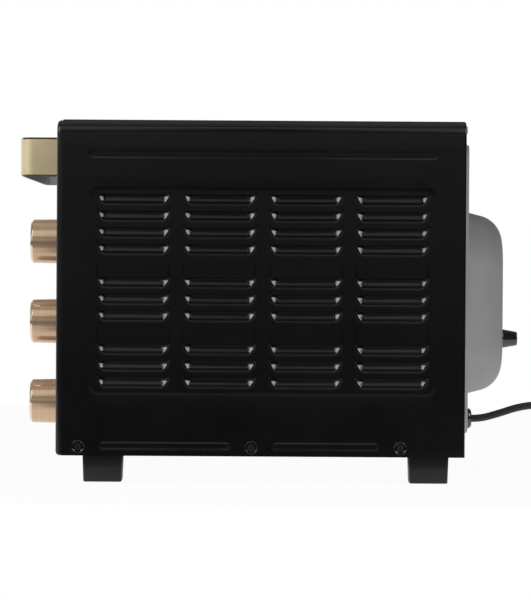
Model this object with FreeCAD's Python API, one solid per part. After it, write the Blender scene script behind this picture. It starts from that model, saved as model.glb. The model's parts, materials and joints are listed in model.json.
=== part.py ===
import FreeCAD, Part
import math
import os

# Countertop electric oven, in millimetres.
# X runs along the width, the front faces -Y, Z is up, the origin is under the middle.

os.makedirs("parts", exist_ok=True)
V = FreeCAD.Vector
ALONG_X = V(1, 0, 0)
ALONG_Y = V(0, 1, 0)
ALONG_Z = V(0, 0, 1)

# Case
case_width = 510.0
case_depth = 374.0
case_height = 307.0
case_bend = 12.0
case_flange = 10.0
sheet = 0.8
foot_height = 25.5
pad_height = 0.5
seat_gap = 0.3
run_gap = 0.05
hole_gap = 0.1

# Pressed field and louvres on each side
field_front = 29.2
field_rear = 25.2
field_bottom = 55.0
field_top = 60.5
field_corner = 10.0
field_depth = 0.5
field_slope = 3.0
field_margin = 8.0
louvre_length = 65.0
louvre_height = 9.6
louvre_depth = 4.5
louvre_pitch = 15.22
louvre_side_gap = 14.0
louvre_group = 4

# Beads and screw dimples on each side
bead_width = 7.8
bead_depth = 0.8
top_bead_drop = 31.2
low_bead_rise = 9.2
low_bead_starts = (39.8, 198.3)
low_bead_lengths = (120.5, 97.8)
dimple_radius = 5.8
dimple_depth = 2.0
dimple_slope = 1.4
side_screw_rise = 8.2
side_screw_front = 20.5
side_screw_middle = 179.3
side_screw_rear = 58.1
screw_head_radius = 3.4
screw_head_height = 1.7
screw_radius = 1.75
screw_length = 8.0

# Front frame
frame_lip = 5.5
frame_rim = 5.0
frame_round = 4.0
recess = 9.0
frame_plate = 1.2
sill_height = 26.0
slot_lip = 4.0

# Control panel and its knobs
panel_width = 113.0
panel_wall = 2.0
panel_edge = 0.5
door_gap = 1.5
door_panel_gap = 2.0
knob_reach = 26.9
knob_gap = 1.0
knob_radius = 20.6
knob_taper = 0.5
knob_chamfer = 2.0
knob_wall = 2.6
knob_face = 4.0
knob_hub_radius = 7.0
knob_low_rise = 47.3
knob_pitch = 74.4
pointer_width = 1.8
pointer_length = 9.0
pointer_depth = 0.8
shaft_radius = 3.0
shaft_flat = 1.0
bush_radius = 5.0
bush_length = 5.2
nut_thick = 3.0
nut_across = 14.0
lamp_radius = 3.5
lamp_drop = 45.0
lamp_proud = 1.5
lamp_length = 24.0
lamp_collar = 1.5
shaft_clear = 1.0

# Controls behind the panel
thermostat_size = (38.0, 26.0, 34.0)
switch_radius = 20.0
switch_length = 28.0
timer_size = (50.0, 36.0, 44.0)
bell_radius = 19.0
bell_height = 10.0
tab_width = 6.3
tab_thick = 0.8
tab_length = 8.0
shaft_seat = 6.0

# Door
door_clear = 0.6
glass_thick = 4.0
glass_corner = 3.0
door_lap = 12.0
hinge_depth = 5.0
hinge_rise = 5.5
rail_rise = 6.0
rail_notch = 7.0
pin_radius = 2.5
pin_length = 17.0
ear_thick = 2.5
ear_inset = 2.0
ear_base = 1.6
ear_radius = 4.0
door_skin = 1.0
window_side = 34.0
window_low = 30.0
window_high = 46.0
window_corner = 4.0
seal_inset = 3.0
seal_width = 5.0
seal_gap = 0.2

# Handle
handle_reach = 43.4
handle_side = 16.0
handle_height = 37.4
handle_drop = 4.5
handle_thick = 3.0
handle_bend = 13.0
bracket_width = 14.0
bracket_depth = 22.0
bracket_margin = 4.0
handle_screw_radius = 2.0
handle_screw_head = 4.0
handle_screw_cap = 2.4
handle_screw_bite = 15.0

# Cavity
mouth_lip = 3.0
mouth_low = 2.0
mouth_high = 9.5
ceiling_rise = 2.0
liner_bend = 6.0

# Rear panel
rear_inset = 3.0
rear_foot_inset = 0.5
rear_step = 3.7
step_slope = 2.2
step_side = 6.0
step_low = 20.5
step_high = 18.8
step_corner = 12.0
dome_depth = 44.1
dome_side = 26.0
dome_half_height = 91.0
dome_rise = 139.5
dome_draft = 11.0
dome_corner = 52.0
dome_round = 27.0
vent_count = 9
vent_length = 44.0
vent_height = 4.0
vent_pitch = 10.0
vent_rise = 150.0
rear_screw_radius = 3.5
rear_screw_height = 2.0
rear_screw_inset = 40.0

# Wall spacers on the dome
spacer_length = 15.2
spacer_base = 9.7
spacer_tip = 6.6
spacer_round = 1.2
spacer_side = 48.0
spacer_rise = 105.1
spacer_stem = 3.0
spacer_stem_length = 5.0

# Feet
foot_width = 37.0
foot_across = 32.0
foot_draft = 0.8
foot_round = 2.0
foot_front = 42.2
foot_back = 31.1
foot_side = 38.0
pad_radius = 7.0
foot_screw_length = 12.0

# Heaters
heater_radius = 3.3
heater_front = 110.0
heater_pitch = 160.0
heater_low_rise = 8.0
heater_high_drop = 15.0
heater_end = 9.0
heater_pin_radius = 1.4
heater_pin_length = 10.0
bush_neck = 5.4
bush_collar = 8.0
bush_collar_thick = 3.5
bush_neck_length = 5.0

# Thermostat bulb
bulb_radius = 3.0
bulb_length = 80.0
bulb_drop = 24.0
bulb_front = 150.0
bulb_clip_width = 8.0
bulb_clip_thick = 0.8
bulb_clip_foot = 9.0
capillary_stub = 6.0
capillary_lap = 4.0
capillary_run = 14.0
capillary_swing = 18.0
capillary_sweep = 24.0
capillary_turn = 26.0

# Shelf rails, rack and hooks
rail_front = 16.0
rail_back = 34.0
rail_depth = 9.0
rail_sheet = 0.8
rail_pitch = 65.0
rail_count = 3
rail_head_room = 2.0
rack_rise = 62.0
rack_back = 20.0
rack_rear_gap = 39.0
rack_side_gap = 5.0
rack_frame_radius = 2.5
rack_corner = 10.0
rack_wire_radius = 1.6
rack_wire_sink = 0.4
rack_wires = 13
rack_wire_margin = 19.2
hook_width = 3.0
hook_thick = 2.5
hook_inset = 20.0
hook_tip = 24.4
hook_floor = 55.8
hook_top = 64.5

# Baking tray
pan_side = 16.0
pan_front = 45.0
pan_back = 49.0
pan_height = 20.0
pan_slope = 6.0
pan_sheet = 0.9
pan_rim = 6.0
pan_corner = 16.0

# Crumb tray
crumb_gap = 0.5
crumb_face = 2.0
crumb_setback = 0.5
crumb_wall = 11.0
crumb_floor_rise = 0.7
crumb_back_gap = 10.0
pull_width = 90.0
pull_reach = 5.0
pull_thick = 2.0
rib_width = 10.0
rib_inset = 45.0
rib_front = 30.0
rib_back = 24.0

# Base plate
base_flange = 18.0
base_tab_gap = 2.5

# Power cord
cord_diameter = 6.8
cord_side = 50.0
cord_rise = 33.9
gland_radius = 9.5
gland_length = 6.0
gland_round = 3.6
gland_neck = 6.2
gland_lock = 2.0
gland_catch = 1.0
block_size = (40.0, 24.0, 22.0)
block_back = 70.0
block_well_radius = 3.5
block_well_depth = 8.0
wire_radius = 1.3
jacket_run = 30.0
jacket_turn = 26.0
wire_straight = 60.0
wire_lead = 30.0
wire_sweep = 45.0
wire_climb = 34.0
wire_turn = 28.0
wire_clear = 14.0
wire_side = 8.0
wire_drop = 36.0
wire_reach = 24.0
wire_offset = 10.0
coil_pitch = 7.4
coil_outer = 41.0
coil_low_turns = 1.5
coil_high_turns = 1.25
coil_flare = 9.0
tie_thick = 1.2
tie_width = 10.0
tie_gap = 0.5
tie_angle = 225.0
plug_length = 36.0
plug_width = 27.0
plug_neck = 5.5
plug_boot = 20.0
plug_flare = 3.0
plug_round = 6.0
blade_length = 17.0
blade_width = 6.3
blade_thick = 1.5
blade_pitch = 12.7
earth_radius = 2.4
earth_length = 20.0
earth_drop = 11.9

# Places that follow from the sizes above
field_length = case_depth - field_front - field_rear
field_height = case_height - field_bottom - field_top
side_screw_places = (side_screw_front, side_screw_middle, case_depth - side_screw_rear)
foot_rear = case_depth - foot_back
rail_length = case_depth - rail_front - rail_back
rack_length = case_depth - hinge_depth - rack_back - rack_rear_gap
pan_length = case_depth - pan_front - pan_back
rib_length = case_depth - rib_front - rib_back
heater_rear = heater_front + heater_pitch
lamp_rise = case_height - lamp_drop
depth_all = handle_reach + case_depth + rear_step + dome_depth + spacer_length
y_front = handle_reach - depth_all / 2
y_rear = y_front + case_depth
z_base = foot_height + pad_height
z_top = z_base + case_height
z_floor = z_base + sheet
x_side = case_width / 2
x_rim = x_side - frame_rim
y_plate = y_front + recess
y_inside = y_plate + frame_plate
panel_right = x_rim - door_gap
panel_left = panel_right - panel_width
door_right = panel_left - door_panel_gap
door_left = -x_rim + door_gap
door_mid = (door_left + door_right) / 2
door_half = (door_right - door_left) / 2
handle_length = 2 * (door_half - handle_side)
dome_half_width = door_half - dome_side
spacer_offset = dome_half_width - spacer_side
door_top = z_top - frame_rim - door_gap
door_thick = recess - door_clear
sill_top = z_base + sill_height
hinge_y = y_front + hinge_depth
hinge_z = sill_top + hinge_rise
knuckle_radius = recess - hinge_depth - seat_gap
rail_top = hinge_z + rail_rise
glass_back = y_front + glass_thick
mouth_half = door_half - door_lap
mouth_bottom = rail_top + mouth_low
mouth_top = door_top - mouth_high
cavity_half = mouth_half + mouth_lip
cavity_top = mouth_top + ceiling_rise
cavity_left = door_mid - cavity_half
cavity_right = door_mid + cavity_half
slot_bottom = z_base + frame_rim + seat_gap
slot_top = sill_top - slot_lip
base_half = x_side - sheet - dimple_depth - seat_gap
knob_x = (panel_left + panel_right) / 2
knob_z = [z_base + knob_low_rise + knob_pitch * k for k in (2, 1, 0)]
step_face = y_rear + rear_step
dome_face = step_face + dome_depth
dome_z = z_base + dome_rise
handle_top = door_top - handle_drop
handle_front = y_front - handle_reach
rack_z = hinge_z + rack_rise
rack_front = hinge_y + rack_back
rack_half = mouth_half - rack_side_gap
rack_wire_pitch = 2 * (rack_half - rack_wire_margin) / (rack_wires - 1)
pan_half_width = rack_half - pan_side
crumb_half = mouth_half - crumb_gap
crumb_floor = slot_bottom + crumb_floor_rise
cord_x = x_side - cord_side
cord_z = z_base + cord_rise
cord_radius = cord_diameter / 2
gland_end = step_face + gland_length
screw_hole = screw_radius + hole_gap


# Small makers of plain solids
def box(x0, x1, y0, y1, z0, z1):
    return Part.makeBox(x1 - x0, y1 - y0, z1 - z0, V(x0, y0, z0))


def rod(start, axis, radius, length):
    return Part.makeCylinder(radius, length, start, axis)


def fused(shapes):
    return shapes[0].multiFuse(shapes[1:]).removeSplitter() if len(shapes) > 1 else shapes[0]


def group(shapes):
    return Part.makeCompound(shapes)


def mirrored(shape):
    return shape.mirror(V(0, 0, 0), ALONG_X)


# A closed outline with rounded corners; radii run from the high-u high-v corner round through low-u
def round_rect(mid, u, v, half_u, half_v, radii):
    corners = [(1, 1), (-1, 1), (-1, -1), (1, -1)]
    runs = [(-1, 0), (0, -1), (1, 0), (0, 1)]
    edges = []
    entries = []
    exits = []
    for k, (su, sv) in enumerate(corners):
        corner = mid + u * (su * half_u) + v * (sv * half_v)
        back = runs[k - 1]
        ahead = runs[k]
        entries.append(corner - (u * back[0] + v * back[1]) * radii[k])
        exits.append(corner + (u * ahead[0] + v * ahead[1]) * radii[k])
    for k, (su, sv) in enumerate(corners):
        if radii[k] > 0:
            heart = mid + u * (su * (half_u - radii[k])) + v * (sv * (half_v - radii[k]))
            crown = heart + (u * su + v * sv) * (radii[k] / math.sqrt(2))
            edges.append(Part.Arc(entries[k], crown, exits[k]).toShape())
        edges.append(Part.LineSegment(exits[k], entries[(k + 1) % 4]).toShape())
    return Part.Wire(edges)


def plate_xz(x0, x1, z0, z1, y0, y1, radii):
    mid = V((x0 + x1) / 2, y0, (z0 + z1) / 2)
    wire = round_rect(mid, ALONG_X, ALONG_Z, (x1 - x0) / 2, (z1 - z0) / 2, radii)
    return Part.Face(wire).extrude(V(0, y1 - y0, 0))


def plate_xy(x0, x1, y0, y1, z0, z1, radii):
    mid = V((x0 + x1) / 2, (y0 + y1) / 2, z0)
    wire = round_rect(mid, ALONG_X, ALONG_Y, (x1 - x0) / 2, (y1 - y0) / 2, radii)
    return Part.Face(wire).extrude(V(0, 0, z1 - z0))


# A pressed form with sloping walls, between two rounded outlines
def pressed(mid, u, v, half_u, half_v, corner, slope, depth):
    wide = round_rect(mid, u, v, half_u, half_v, [corner] * 4)
    small = max(corner - slope, corner * 0.3)
    narrow = round_rect(mid + depth, u, v, half_u - slope, half_v - slope, [small] * 4)
    return Part.makeLoft([wide, narrow], True, True)


# A round-ended bar along Y: a half outline turned about its own axis
def capsule(mid, half_length, radius):
    a = mid - ALONG_Y * (half_length + radius)
    b = mid + ALONG_Y * (half_length + radius)
    diagonal = radius / math.sqrt(2)
    first = Part.Arc(
        a,
        mid - ALONG_Y * (half_length + diagonal) + ALONG_Z * diagonal,
        mid - ALONG_Y * half_length + ALONG_Z * radius,
    )
    second = Part.Arc(
        mid + ALONG_Y * half_length + ALONG_Z * radius,
        mid + ALONG_Y * (half_length + diagonal) + ALONG_Z * diagonal,
        b,
    )
    top = Part.LineSegment(first.EndPoint, second.StartPoint)
    axis = Part.LineSegment(b, a)
    face = Part.Face(Part.Wire([first.toShape(), top.toShape(), second.toShape(), axis.toShape()]))
    return face.revolve(mid, ALONG_Y, 360)


# The radius of a round bar that cuts a groove of this half width and depth
def groove_radius(half_width, depth):
    return (half_width * half_width + depth * depth) / (2 * depth)


# Tubes: straight runs joined by tangent arcs
def arc_between(start, corner, end):
    into = (corner - start).normalize()
    away = (end - corner).normalize()
    reach = (corner - start).Length
    half = into.getAngle(away) / 2
    if half < 1e-4:
        return Part.LineSegment(start, end).toShape(), 0.0
    inward = (away - into).normalize()
    radius = reach / math.tan(half)
    crown = corner + inward * (radius / math.cos(half) - radius)
    return Part.Arc(start, crown, end).toShape(), radius


def rounded_route(points, share=0.45):
    edges = []
    radii = []
    here = points[0]
    for before, corner, after in zip(points, points[1:], points[2:]):
        reach = share * min((corner - before).Length, (after - corner).Length)
        start = corner + (before - corner).normalize() * reach
        end = corner + (after - corner).normalize() * reach
        arc, radius = arc_between(start, corner, end)
        edges.append(Part.LineSegment(here, start).toShape())
        edges.append(arc)
        radii.append(radius)
        here = end
    edges.append(Part.LineSegment(here, points[-1]).toShape())
    return Part.Wire(edges), radii


def tube(path, start, heading, radius):
    ring = Part.Wire(Part.Circle(start, heading, radius).toShape())
    return path.makePipeShell([ring], True, False)


def lead(points, radius):
    path, radii = rounded_route(points)
    return tube(path, points[0], points[1] - points[0], radius)


# Two arcs from one point and heading to the next
def biarc(p0, t0, p1, t1):
    chord = p1 - p0
    both = t0 + t1
    spread = 4 - both.dot(both)
    along = chord.dot(both)
    if spread < 1e-9:
        reach = chord.dot(chord) / (2 * along)
    else:
        reach = (math.sqrt(along * along + spread * chord.dot(chord)) - along) / spread
    first = p0 + t0 * reach
    second = p1 - t1 * reach
    joint = (first + second) / 2
    return [arc_between(p0, first, joint)[0], arc_between(joint, second, p1)[0]]


# Case
def case_side_outline(y, inset_side, inset_top, bend):
    x1 = x_side - inset_side
    z1 = z_top - inset_top
    turn = bend / math.sqrt(2)
    return (
        V(0, y, z1),
        V(x1 - bend, y, z1),
        V(x1 - bend + turn, y, z1 - bend + turn),
        V(x1, y, z1 - bend),
        V(x1, y, z_base),
    )


def case_half(y0, y1, width):
    outer = case_side_outline(y0, 0, 0, case_bend)
    inner = case_side_outline(y0, width, width, max(case_bend - width, sheet))
    edges = [
        Part.LineSegment(outer[0], outer[1]).toShape(),
        Part.Arc(outer[1], outer[2], outer[3]).toShape(),
        Part.LineSegment(outer[3], outer[4]).toShape(),
        Part.LineSegment(outer[4], inner[4]).toShape(),
        Part.LineSegment(inner[4], inner[3]).toShape(),
        Part.Arc(inner[3], inner[2], inner[1]).toShape(),
        Part.LineSegment(inner[1], inner[0]).toShape(),
        Part.LineSegment(inner[0], outer[0]).toShape(),
    ]
    return Part.Face(Part.Wire(edges)).extrude(V(0, y1 - y0, 0))


def louvre_places():
    columns = int((field_length - 2 * field_margin + louvre_side_gap) / (louvre_length + louvre_side_gap))
    span = columns * (louvre_length + louvre_side_gap) - louvre_side_gap
    rows = int((field_height - 2 * field_margin + louvre_pitch - louvre_height) / louvre_pitch)
    rise = (rows - 1) * louvre_pitch + louvre_height
    first_y = y_front + field_front + (field_length - span) / 2 + louvre_length / 2
    first_z = z_base + field_bottom + (field_height + rise) / 2
    places = []
    for row in range(rows):
        if row % louvre_group == 0 and row > 0:
            continue
        for column in range(columns):
            y = first_y + column * (louvre_length + louvre_side_gap)
            places.append((y, first_z - row * louvre_pitch))
    return places


# A louvre's scoop: the lower half of a round-ended bar that stands outside the sheet
def louvre_scoop(y, z, outside, extra):
    radius = groove_radius(louvre_height, louvre_depth)
    heart = V(outside + radius - louvre_depth, y, z)
    bar = capsule(heart, louvre_length / 2 - louvre_height, radius + extra)
    reach = louvre_length
    keep = box(outside - reach, outside - extra / 2, y - reach, y + reach, z - reach, z)
    return bar.common(keep)


def bead_bar(y0, y1, z, extra):
    radius = groove_radius(bead_width / 2, bead_depth)
    heart = V(x_side + radius - bead_depth, (y0 + y1) / 2, z)
    bar = capsule(heart, (y1 - y0 - bead_width) / 2, radius + extra)
    reach = y1 - y0
    return bar.common(box(x_side - reach, x_side - extra / 2, y0 - reach, y1 + reach, z - reach, z + reach))


def dimple(y, z, extra):
    depth = dimple_depth
    top = V(x_side - extra, y, z)
    return Part.makeCone(dimple_radius, dimple_radius - dimple_slope, depth, top, V(-1, 0, 0))


def side_screw_spots():
    return [(y_front + place, z_base + side_screw_rise) for place in side_screw_places]


def bead_spans():
    z_high = z_top - top_bead_drop
    spans = [(y_front + field_front, y_front + field_front + field_length, z_high)]
    for start, length in zip(low_bead_starts, low_bead_lengths):
        spans.append((y_front + start, y_front + start + length, z_base + low_bead_rise))
    return spans


def make_outer_case():
    half = case_half(y_front + frame_lip, y_rear, sheet)
    half = half.fuse(case_half(y_rear - sheet, y_rear, case_flange))
    field_mid = V(x_side, y_front + field_front + field_length / 2, z_base + field_bottom + field_height / 2)
    sizes = (field_length / 2, field_height / 2, field_corner, field_slope, V(-field_depth, 0, 0))
    field_out = pressed(field_mid, ALONG_Y, ALONG_Z, *sizes)
    field_in = field_out.translated(V(-sheet, 0, 0))
    add = [field_in]
    take = [field_out]
    outside = x_side - field_depth
    ref_y = y_front + case_depth / 2
    ref_z = z_base + case_height / 2
    scoop_in = louvre_scoop(ref_y, ref_z, outside, sheet)
    scoop_out = louvre_scoop(ref_y, ref_z, outside, 0)
    for y, z in louvre_places():
        step = V(0, y - ref_y, z - ref_z)
        add.append(scoop_in.translated(step))
        take.append(scoop_out.translated(step))
    for y0, y1, z in bead_spans():
        add.append(bead_bar(y0, y1, z, sheet))
        take.append(bead_bar(y0, y1, z, 0))
    for y, z in side_screw_spots():
        add.append(dimple(y, z, sheet))
        take.append(dimple(y, z, 0))
        take.append(rod(V(x_side, y, z), V(-1, 0, 0), screw_hole, dimple_depth + 2 * sheet))
    for x in rear_top_spots():
        if x > 0:
            take.append(rod(V(x, y_rear + sheet, rear_top_z()), V(0, -1, 0), screw_hole, 3 * sheet))
    half = half.multiFuse(add)
    half = half.cut(take)
    return half.fuse(mirrored(half)).removeSplitter()


def make_case_side_screws():
    screws = []
    for y, z in side_screw_spots():
        seat = x_side - dimple_depth
        head = rod(V(seat, y, z), ALONG_X, screw_head_radius, screw_head_height)
        slot = screw_head_height / 2
        arm = screw_head_radius * 0.6
        wide = screw_head_radius * 0.14
        top = seat + screw_head_height
        cross = box(top - slot, top + 1, y - arm, y + arm, z - wide, z + wide)
        cross = cross.fuse(box(top - slot, top + 1, y - wide, y + wide, z - arm, z + arm))
        shank = rod(V(seat - screw_length, y, z), ALONG_X, screw_radius, screw_length)
        screws.append(head.cut(cross).fuse(shank))
    return group(screws + [mirrored(s) for s in screws])


# Front frame
def frame_outline(inset, y0, y1):
    top = max(case_bend - inset, sheet)
    foot = frame_round / 2
    radii = [top, top, foot, foot]
    return plate_xz(-x_side + inset, x_side - inset, z_base + inset, z_top - inset, y0, y1, radii)


def make_front_frame():
    lip = frame_outline(0, y_front, y_front + frame_lip)
    rim_edges = [e for e in lip.Edges if abs(e.BoundBox.YMax - y_front) < 1e-6]
    lip = lip.makeFillet(frame_round * 0.98, rim_edges)
    body = frame_outline(sheet + seat_gap, y_front + frame_lip, y_inside)
    frame = lip.fuse(body)
    split = (door_right + panel_left) / 2
    corner = max(case_bend - frame_rim, sheet)
    z_high = z_top - frame_rim
    z_panel = z_base + frame_rim
    before = y_front - handle_reach
    door_room = plate_xz(-x_rim, split, sill_top, z_high, before, y_plate, [0, corner, 0, 0])
    panel_room = plate_xz(split, x_rim, z_panel, z_high, before, y_plate, [corner, 0, 0, 0])
    mouth = box(door_mid - mouth_half, door_mid + mouth_half, before, y_inside + 1, mouth_bottom, mouth_top)
    slot = box(door_mid - mouth_half, door_mid + mouth_half, before, y_inside + 1, slot_bottom, slot_top)
    frame = frame.cut([door_room, panel_room, mouth, slot])
    depth = y_inside - before + 1
    holes = [rod(V(knob_x, before, z), ALONG_Y, bush_radius + seat_gap, depth) for z in knob_z]
    lamp_z = z_base + lamp_rise
    holes.append(rod(V(knob_x, before, lamp_z), ALONG_Y, lamp_radius + seat_gap, depth))
    return frame.cut(holes).removeSplitter()


# Control panel
def make_control_panel():
    z0 = z_base + frame_rim + door_gap
    radius = max(case_bend - frame_rim - door_gap, sheet)
    inner = max(radius - panel_wall, panel_edge)
    shell = plate_xz(panel_left, panel_right, z0, door_top, y_front, y_plate, [radius] + [panel_edge] * 3)
    room = plate_xz(
        panel_left + panel_wall,
        panel_right - panel_wall,
        z0 + panel_wall,
        door_top - panel_wall,
        y_front + panel_wall,
        y_plate + 1,
        [inner] + [panel_edge] * 3,
    )
    hole = shaft_radius + shaft_clear
    holes = [rod(V(knob_x, y_front - 1, z), ALONG_Y, hole, panel_wall + 2) for z in knob_z]
    lamp = V(knob_x, y_front - 1, z_base + lamp_rise)
    holes.append(rod(lamp, ALONG_Y, lamp_radius + hole_gap, panel_wall + 2))
    return shell.cut([room] + holes)


def make_indicator_lamp():
    z = z_base + lamp_rise
    lens = rod(V(knob_x, y_front - lamp_proud, z), ALONG_Y, lamp_radius, lamp_length)
    rim = [e for e in lens.Edges if abs(e.BoundBox.YMax - (y_front - lamp_proud)) < 1e-6]
    lens = lens.makeFillet(lamp_proud * 0.8, rim)
    collar = rod(V(knob_x, y_plate - panel_wall, z), ALONG_Y, lamp_radius + lamp_collar, panel_wall)
    return lens.fuse(collar)


# Knobs and their shafts
def d_bar(y0, y1, z, radius, flat):
    bar = rod(V(knob_x, y0, z), ALONG_Y, radius, y1 - y0)
    side = z + radius - flat
    return bar.cut(box(knob_x - radius, knob_x + radius, y0 - 1, y1 + 1, side, z + 2 * radius))


def make_knob(z):
    tip = y_front - knob_reach
    back = y_front - knob_gap
    length = back - tip
    skin = Part.makeCone(knob_radius - knob_taper, knob_radius, length, V(knob_x, tip, z), ALONG_Y)
    rim = [e for e in skin.Edges if abs(e.BoundBox.YMax - tip) < 1e-6]
    skin = skin.makeChamfer(knob_chamfer, rim)
    inside = knob_radius - knob_taper - knob_wall
    room = rod(V(knob_x, tip + knob_face, z), ALONG_Y, inside, length)
    hub = rod(V(knob_x, tip + knob_face, z), ALONG_Y, knob_hub_radius, length - knob_face - knob_gap)
    bore = d_bar(tip + knob_face, back + 1, z, shaft_radius + run_gap, shaft_flat)
    high = z + knob_radius - knob_chamfer - 2 * pointer_width
    mark = box(
        knob_x - pointer_width / 2,
        knob_x + pointer_width / 2,
        tip - 1,
        tip + pointer_depth,
        high - pointer_length,
        high,
    )
    return skin.cut(room).fuse(hub).cut([bore, mark])


def make_shaft(z):
    start = y_front - knob_reach + knob_face + seat_gap
    neck = y_front - knob_gap
    flat_end = d_bar(start, neck, z, shaft_radius, shaft_flat)
    round_end = rod(V(knob_x, neck, z), ALONG_Y, shaft_radius, y_inside + shaft_seat - neck)
    return flat_end.fuse(round_end).removeSplitter()


def control_bush(z):
    return rod(V(knob_x, y_inside - bush_length, z), ALONG_Y, bush_radius, bush_length)


def control_bore(z):
    start = y_inside - bush_length - 1
    return rod(V(knob_x, start, z), ALONG_Y, shaft_radius + run_gap, bush_length + 1 + shaft_seat + seat_gap)


def tabs_behind(y, places):
    half = tab_width / 2
    return [
        box(x - tab_thick / 2, x + tab_thick / 2, y, y + tab_length, z - half, z + half) for x, z in places
    ]


def make_thermostat():
    wide, deep, tall = thermostat_size
    z = knob_z[0]
    body = box(knob_x - wide / 2, knob_x + wide / 2, y_inside, y_inside + deep, z - tall / 2, z + tall / 2)
    back = y_inside + deep
    tabs = tabs_behind(back, [(knob_x - wide / 4, z), (knob_x + wide / 4, z)])
    return fused([body, control_bush(z)] + tabs).cut(control_bore(z))


def make_function_switch():
    z = knob_z[1]
    body = rod(V(knob_x, y_inside, z), ALONG_Y, switch_radius, switch_length)
    reach = switch_radius / 2
    places = [(knob_x - reach, z + reach), (knob_x + reach, z + reach), (knob_x - reach, z - reach)]
    tabs = tabs_behind(y_inside + switch_length, places + [(knob_x + reach, z - reach)])
    return fused([body, control_bush(z)] + tabs).cut(control_bore(z))


def make_timer():
    wide, deep, tall = timer_size
    z = knob_z[2]
    body = box(knob_x - wide / 2, knob_x + wide / 2, y_inside, y_inside + deep, z - tall / 2, z + tall / 2)
    back = y_inside + deep
    bell = rod(V(knob_x, back, z), ALONG_Y, bell_radius, bell_height)
    crown = [e for e in bell.Edges if abs(e.BoundBox.YMin - (back + bell_height)) < 1e-6]
    bell = bell.makeFillet(bell_height * 0.6, crown)
    tab_x = knob_x - wide / 2 + tab_thick
    tabs = tabs_behind(back, [(tab_x, z - tall / 4), (tab_x, z + tall / 4)])
    return fused([body, bell, control_bush(z)] + tabs).cut(control_bore(z))


def make_control_nuts():
    nuts = []
    across = nut_across / math.sqrt(3)
    for z in knob_z:
        points = []
        for k in range(7):
            turn = k * math.pi / 3
            points.append(V(knob_x + across * math.cos(turn), y_plate, z + across * math.sin(turn)))
        nut = Part.Face(Part.makePolygon(points)).extrude(V(0, -nut_thick, 0))
        hole = rod(V(knob_x, y_plate - nut_thick - 1, z), ALONG_Y, bush_radius + run_gap, nut_thick + 2)
        nuts.append(nut.cut(hole))
    return group(nuts)


# Door
def handle_screw_spots():
    inset = handle_thick + bracket_width / 2
    x0 = door_mid - handle_length / 2 + inset
    x1 = door_mid + handle_length / 2 - inset
    z = handle_top - handle_height / 2
    return [(x0, z), (x1, z)]


def make_door_glass():
    radii = [glass_corner, glass_corner, 0, 0]
    pane = plate_xz(door_left, door_right, rail_top, door_top, y_front, glass_back, radii)
    hole = handle_screw_radius + seat_gap
    holes = [rod(V(x, y_front - 1, z), ALONG_Y, hole, glass_thick + 2) for x, z in handle_screw_spots()]
    return pane.cut(holes)


def make_door_frame():
    back = y_front + door_thick
    x0 = door_left + door_skin
    x1 = door_right - door_skin
    z1 = door_top - door_skin
    w0 = door_left + window_side
    w1 = door_right - window_side
    low = rail_top + window_low
    high = door_top - window_high
    ring = plate_xz(x0, x1, rail_top, z1, glass_back, back, [glass_corner, glass_corner, 0, 0])
    room = box(
        x0 + door_skin,
        x1 - door_skin,
        glass_back + door_skin,
        back + 1,
        rail_top + door_skin,
        z1 - door_skin,
    )
    skin = door_skin
    radii = [window_corner + skin] * 4
    wall = plate_xz(w0 - skin, w1 + skin, low - skin, high + skin, glass_back, back, radii)
    window = plate_xz(w0, w1, low, high, glass_back - 1, back + 1, [window_corner] * 4)
    holes = [
        rod(V(x, glass_back - 1, z), ALONG_Y, handle_screw_radius + seat_gap, door_skin + 2)
        for x, z in handle_screw_spots()
    ]
    return ring.cut(room).fuse(wall).cut([window] + holes)


def make_door_bottom_rail():
    x0 = door_left + rail_notch
    x1 = door_right - rail_notch
    upper = box(x0, x1, y_front, y_front + door_thick, hinge_z, rail_top)
    lower = rod(V(x0, hinge_y, hinge_z), ALONG_X, knuckle_radius, x1 - x0)
    depth = pin_length - rail_notch + ear_inset + seat_gap
    bore = pin_radius + run_gap
    left = rod(V(x0 - 1, hinge_y, hinge_z), ALONG_X, bore, depth + 1)
    right = rod(V(x1 + 1, hinge_y, hinge_z), V(-1, 0, 0), bore, depth + 1)
    return upper.fuse(lower).cut([left, right]).removeSplitter()


def make_door_seal():
    y0 = glass_back + door_skin
    y1 = y_plate - seal_gap
    x0 = door_left + seal_inset
    x1 = door_right - seal_inset
    z0 = rail_top + door_skin
    z1 = door_top - seal_inset
    outer = box(x0, x1, y0, y1, z0, z1)
    return outer.cut(box(x0 + seal_width, x1 - seal_width, y0 - 1, y1 + 1, z0 - 1, z1 - seal_width))


def make_hinge_brackets():
    def one(side):
        inner = door_half - ear_inset - ear_thick
        x0 = door_mid + side * inner
        x1 = door_mid + side * (inner + ear_thick)
        low, high = min(x0, x1), max(x0, x1)
        disc = rod(V(low, hinge_y, hinge_z), ALONG_X, ear_radius, ear_thick)
        arm = box(low, high, hinge_y, y_plate, hinge_z - ear_radius, hinge_z + ear_radius)
        x2 = door_mid + side * (inner - ear_thick)
        near = y_plate - ear_base / 2
        z0 = hinge_z - ear_radius
        foot = box(min(x1, x2), max(x1, x2), near, y_plate, z0, z0 + 2 * ear_radius)
        hole = rod(V(low - 1, hinge_y, hinge_z), ALONG_X, pin_radius, ear_thick + 2)
        return disc.fuse([arm, foot]).cut(hole).removeSplitter()

    return one(-1), one(1)


def make_hinge_pins():
    outer = door_half - ear_inset
    left = rod(V(door_mid - outer, hinge_y, hinge_z), ALONG_X, pin_radius, pin_length)
    right = rod(V(door_mid + outer - pin_length, hinge_y, hinge_z), ALONG_X, pin_radius, pin_length)
    return group([left, right])


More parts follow.
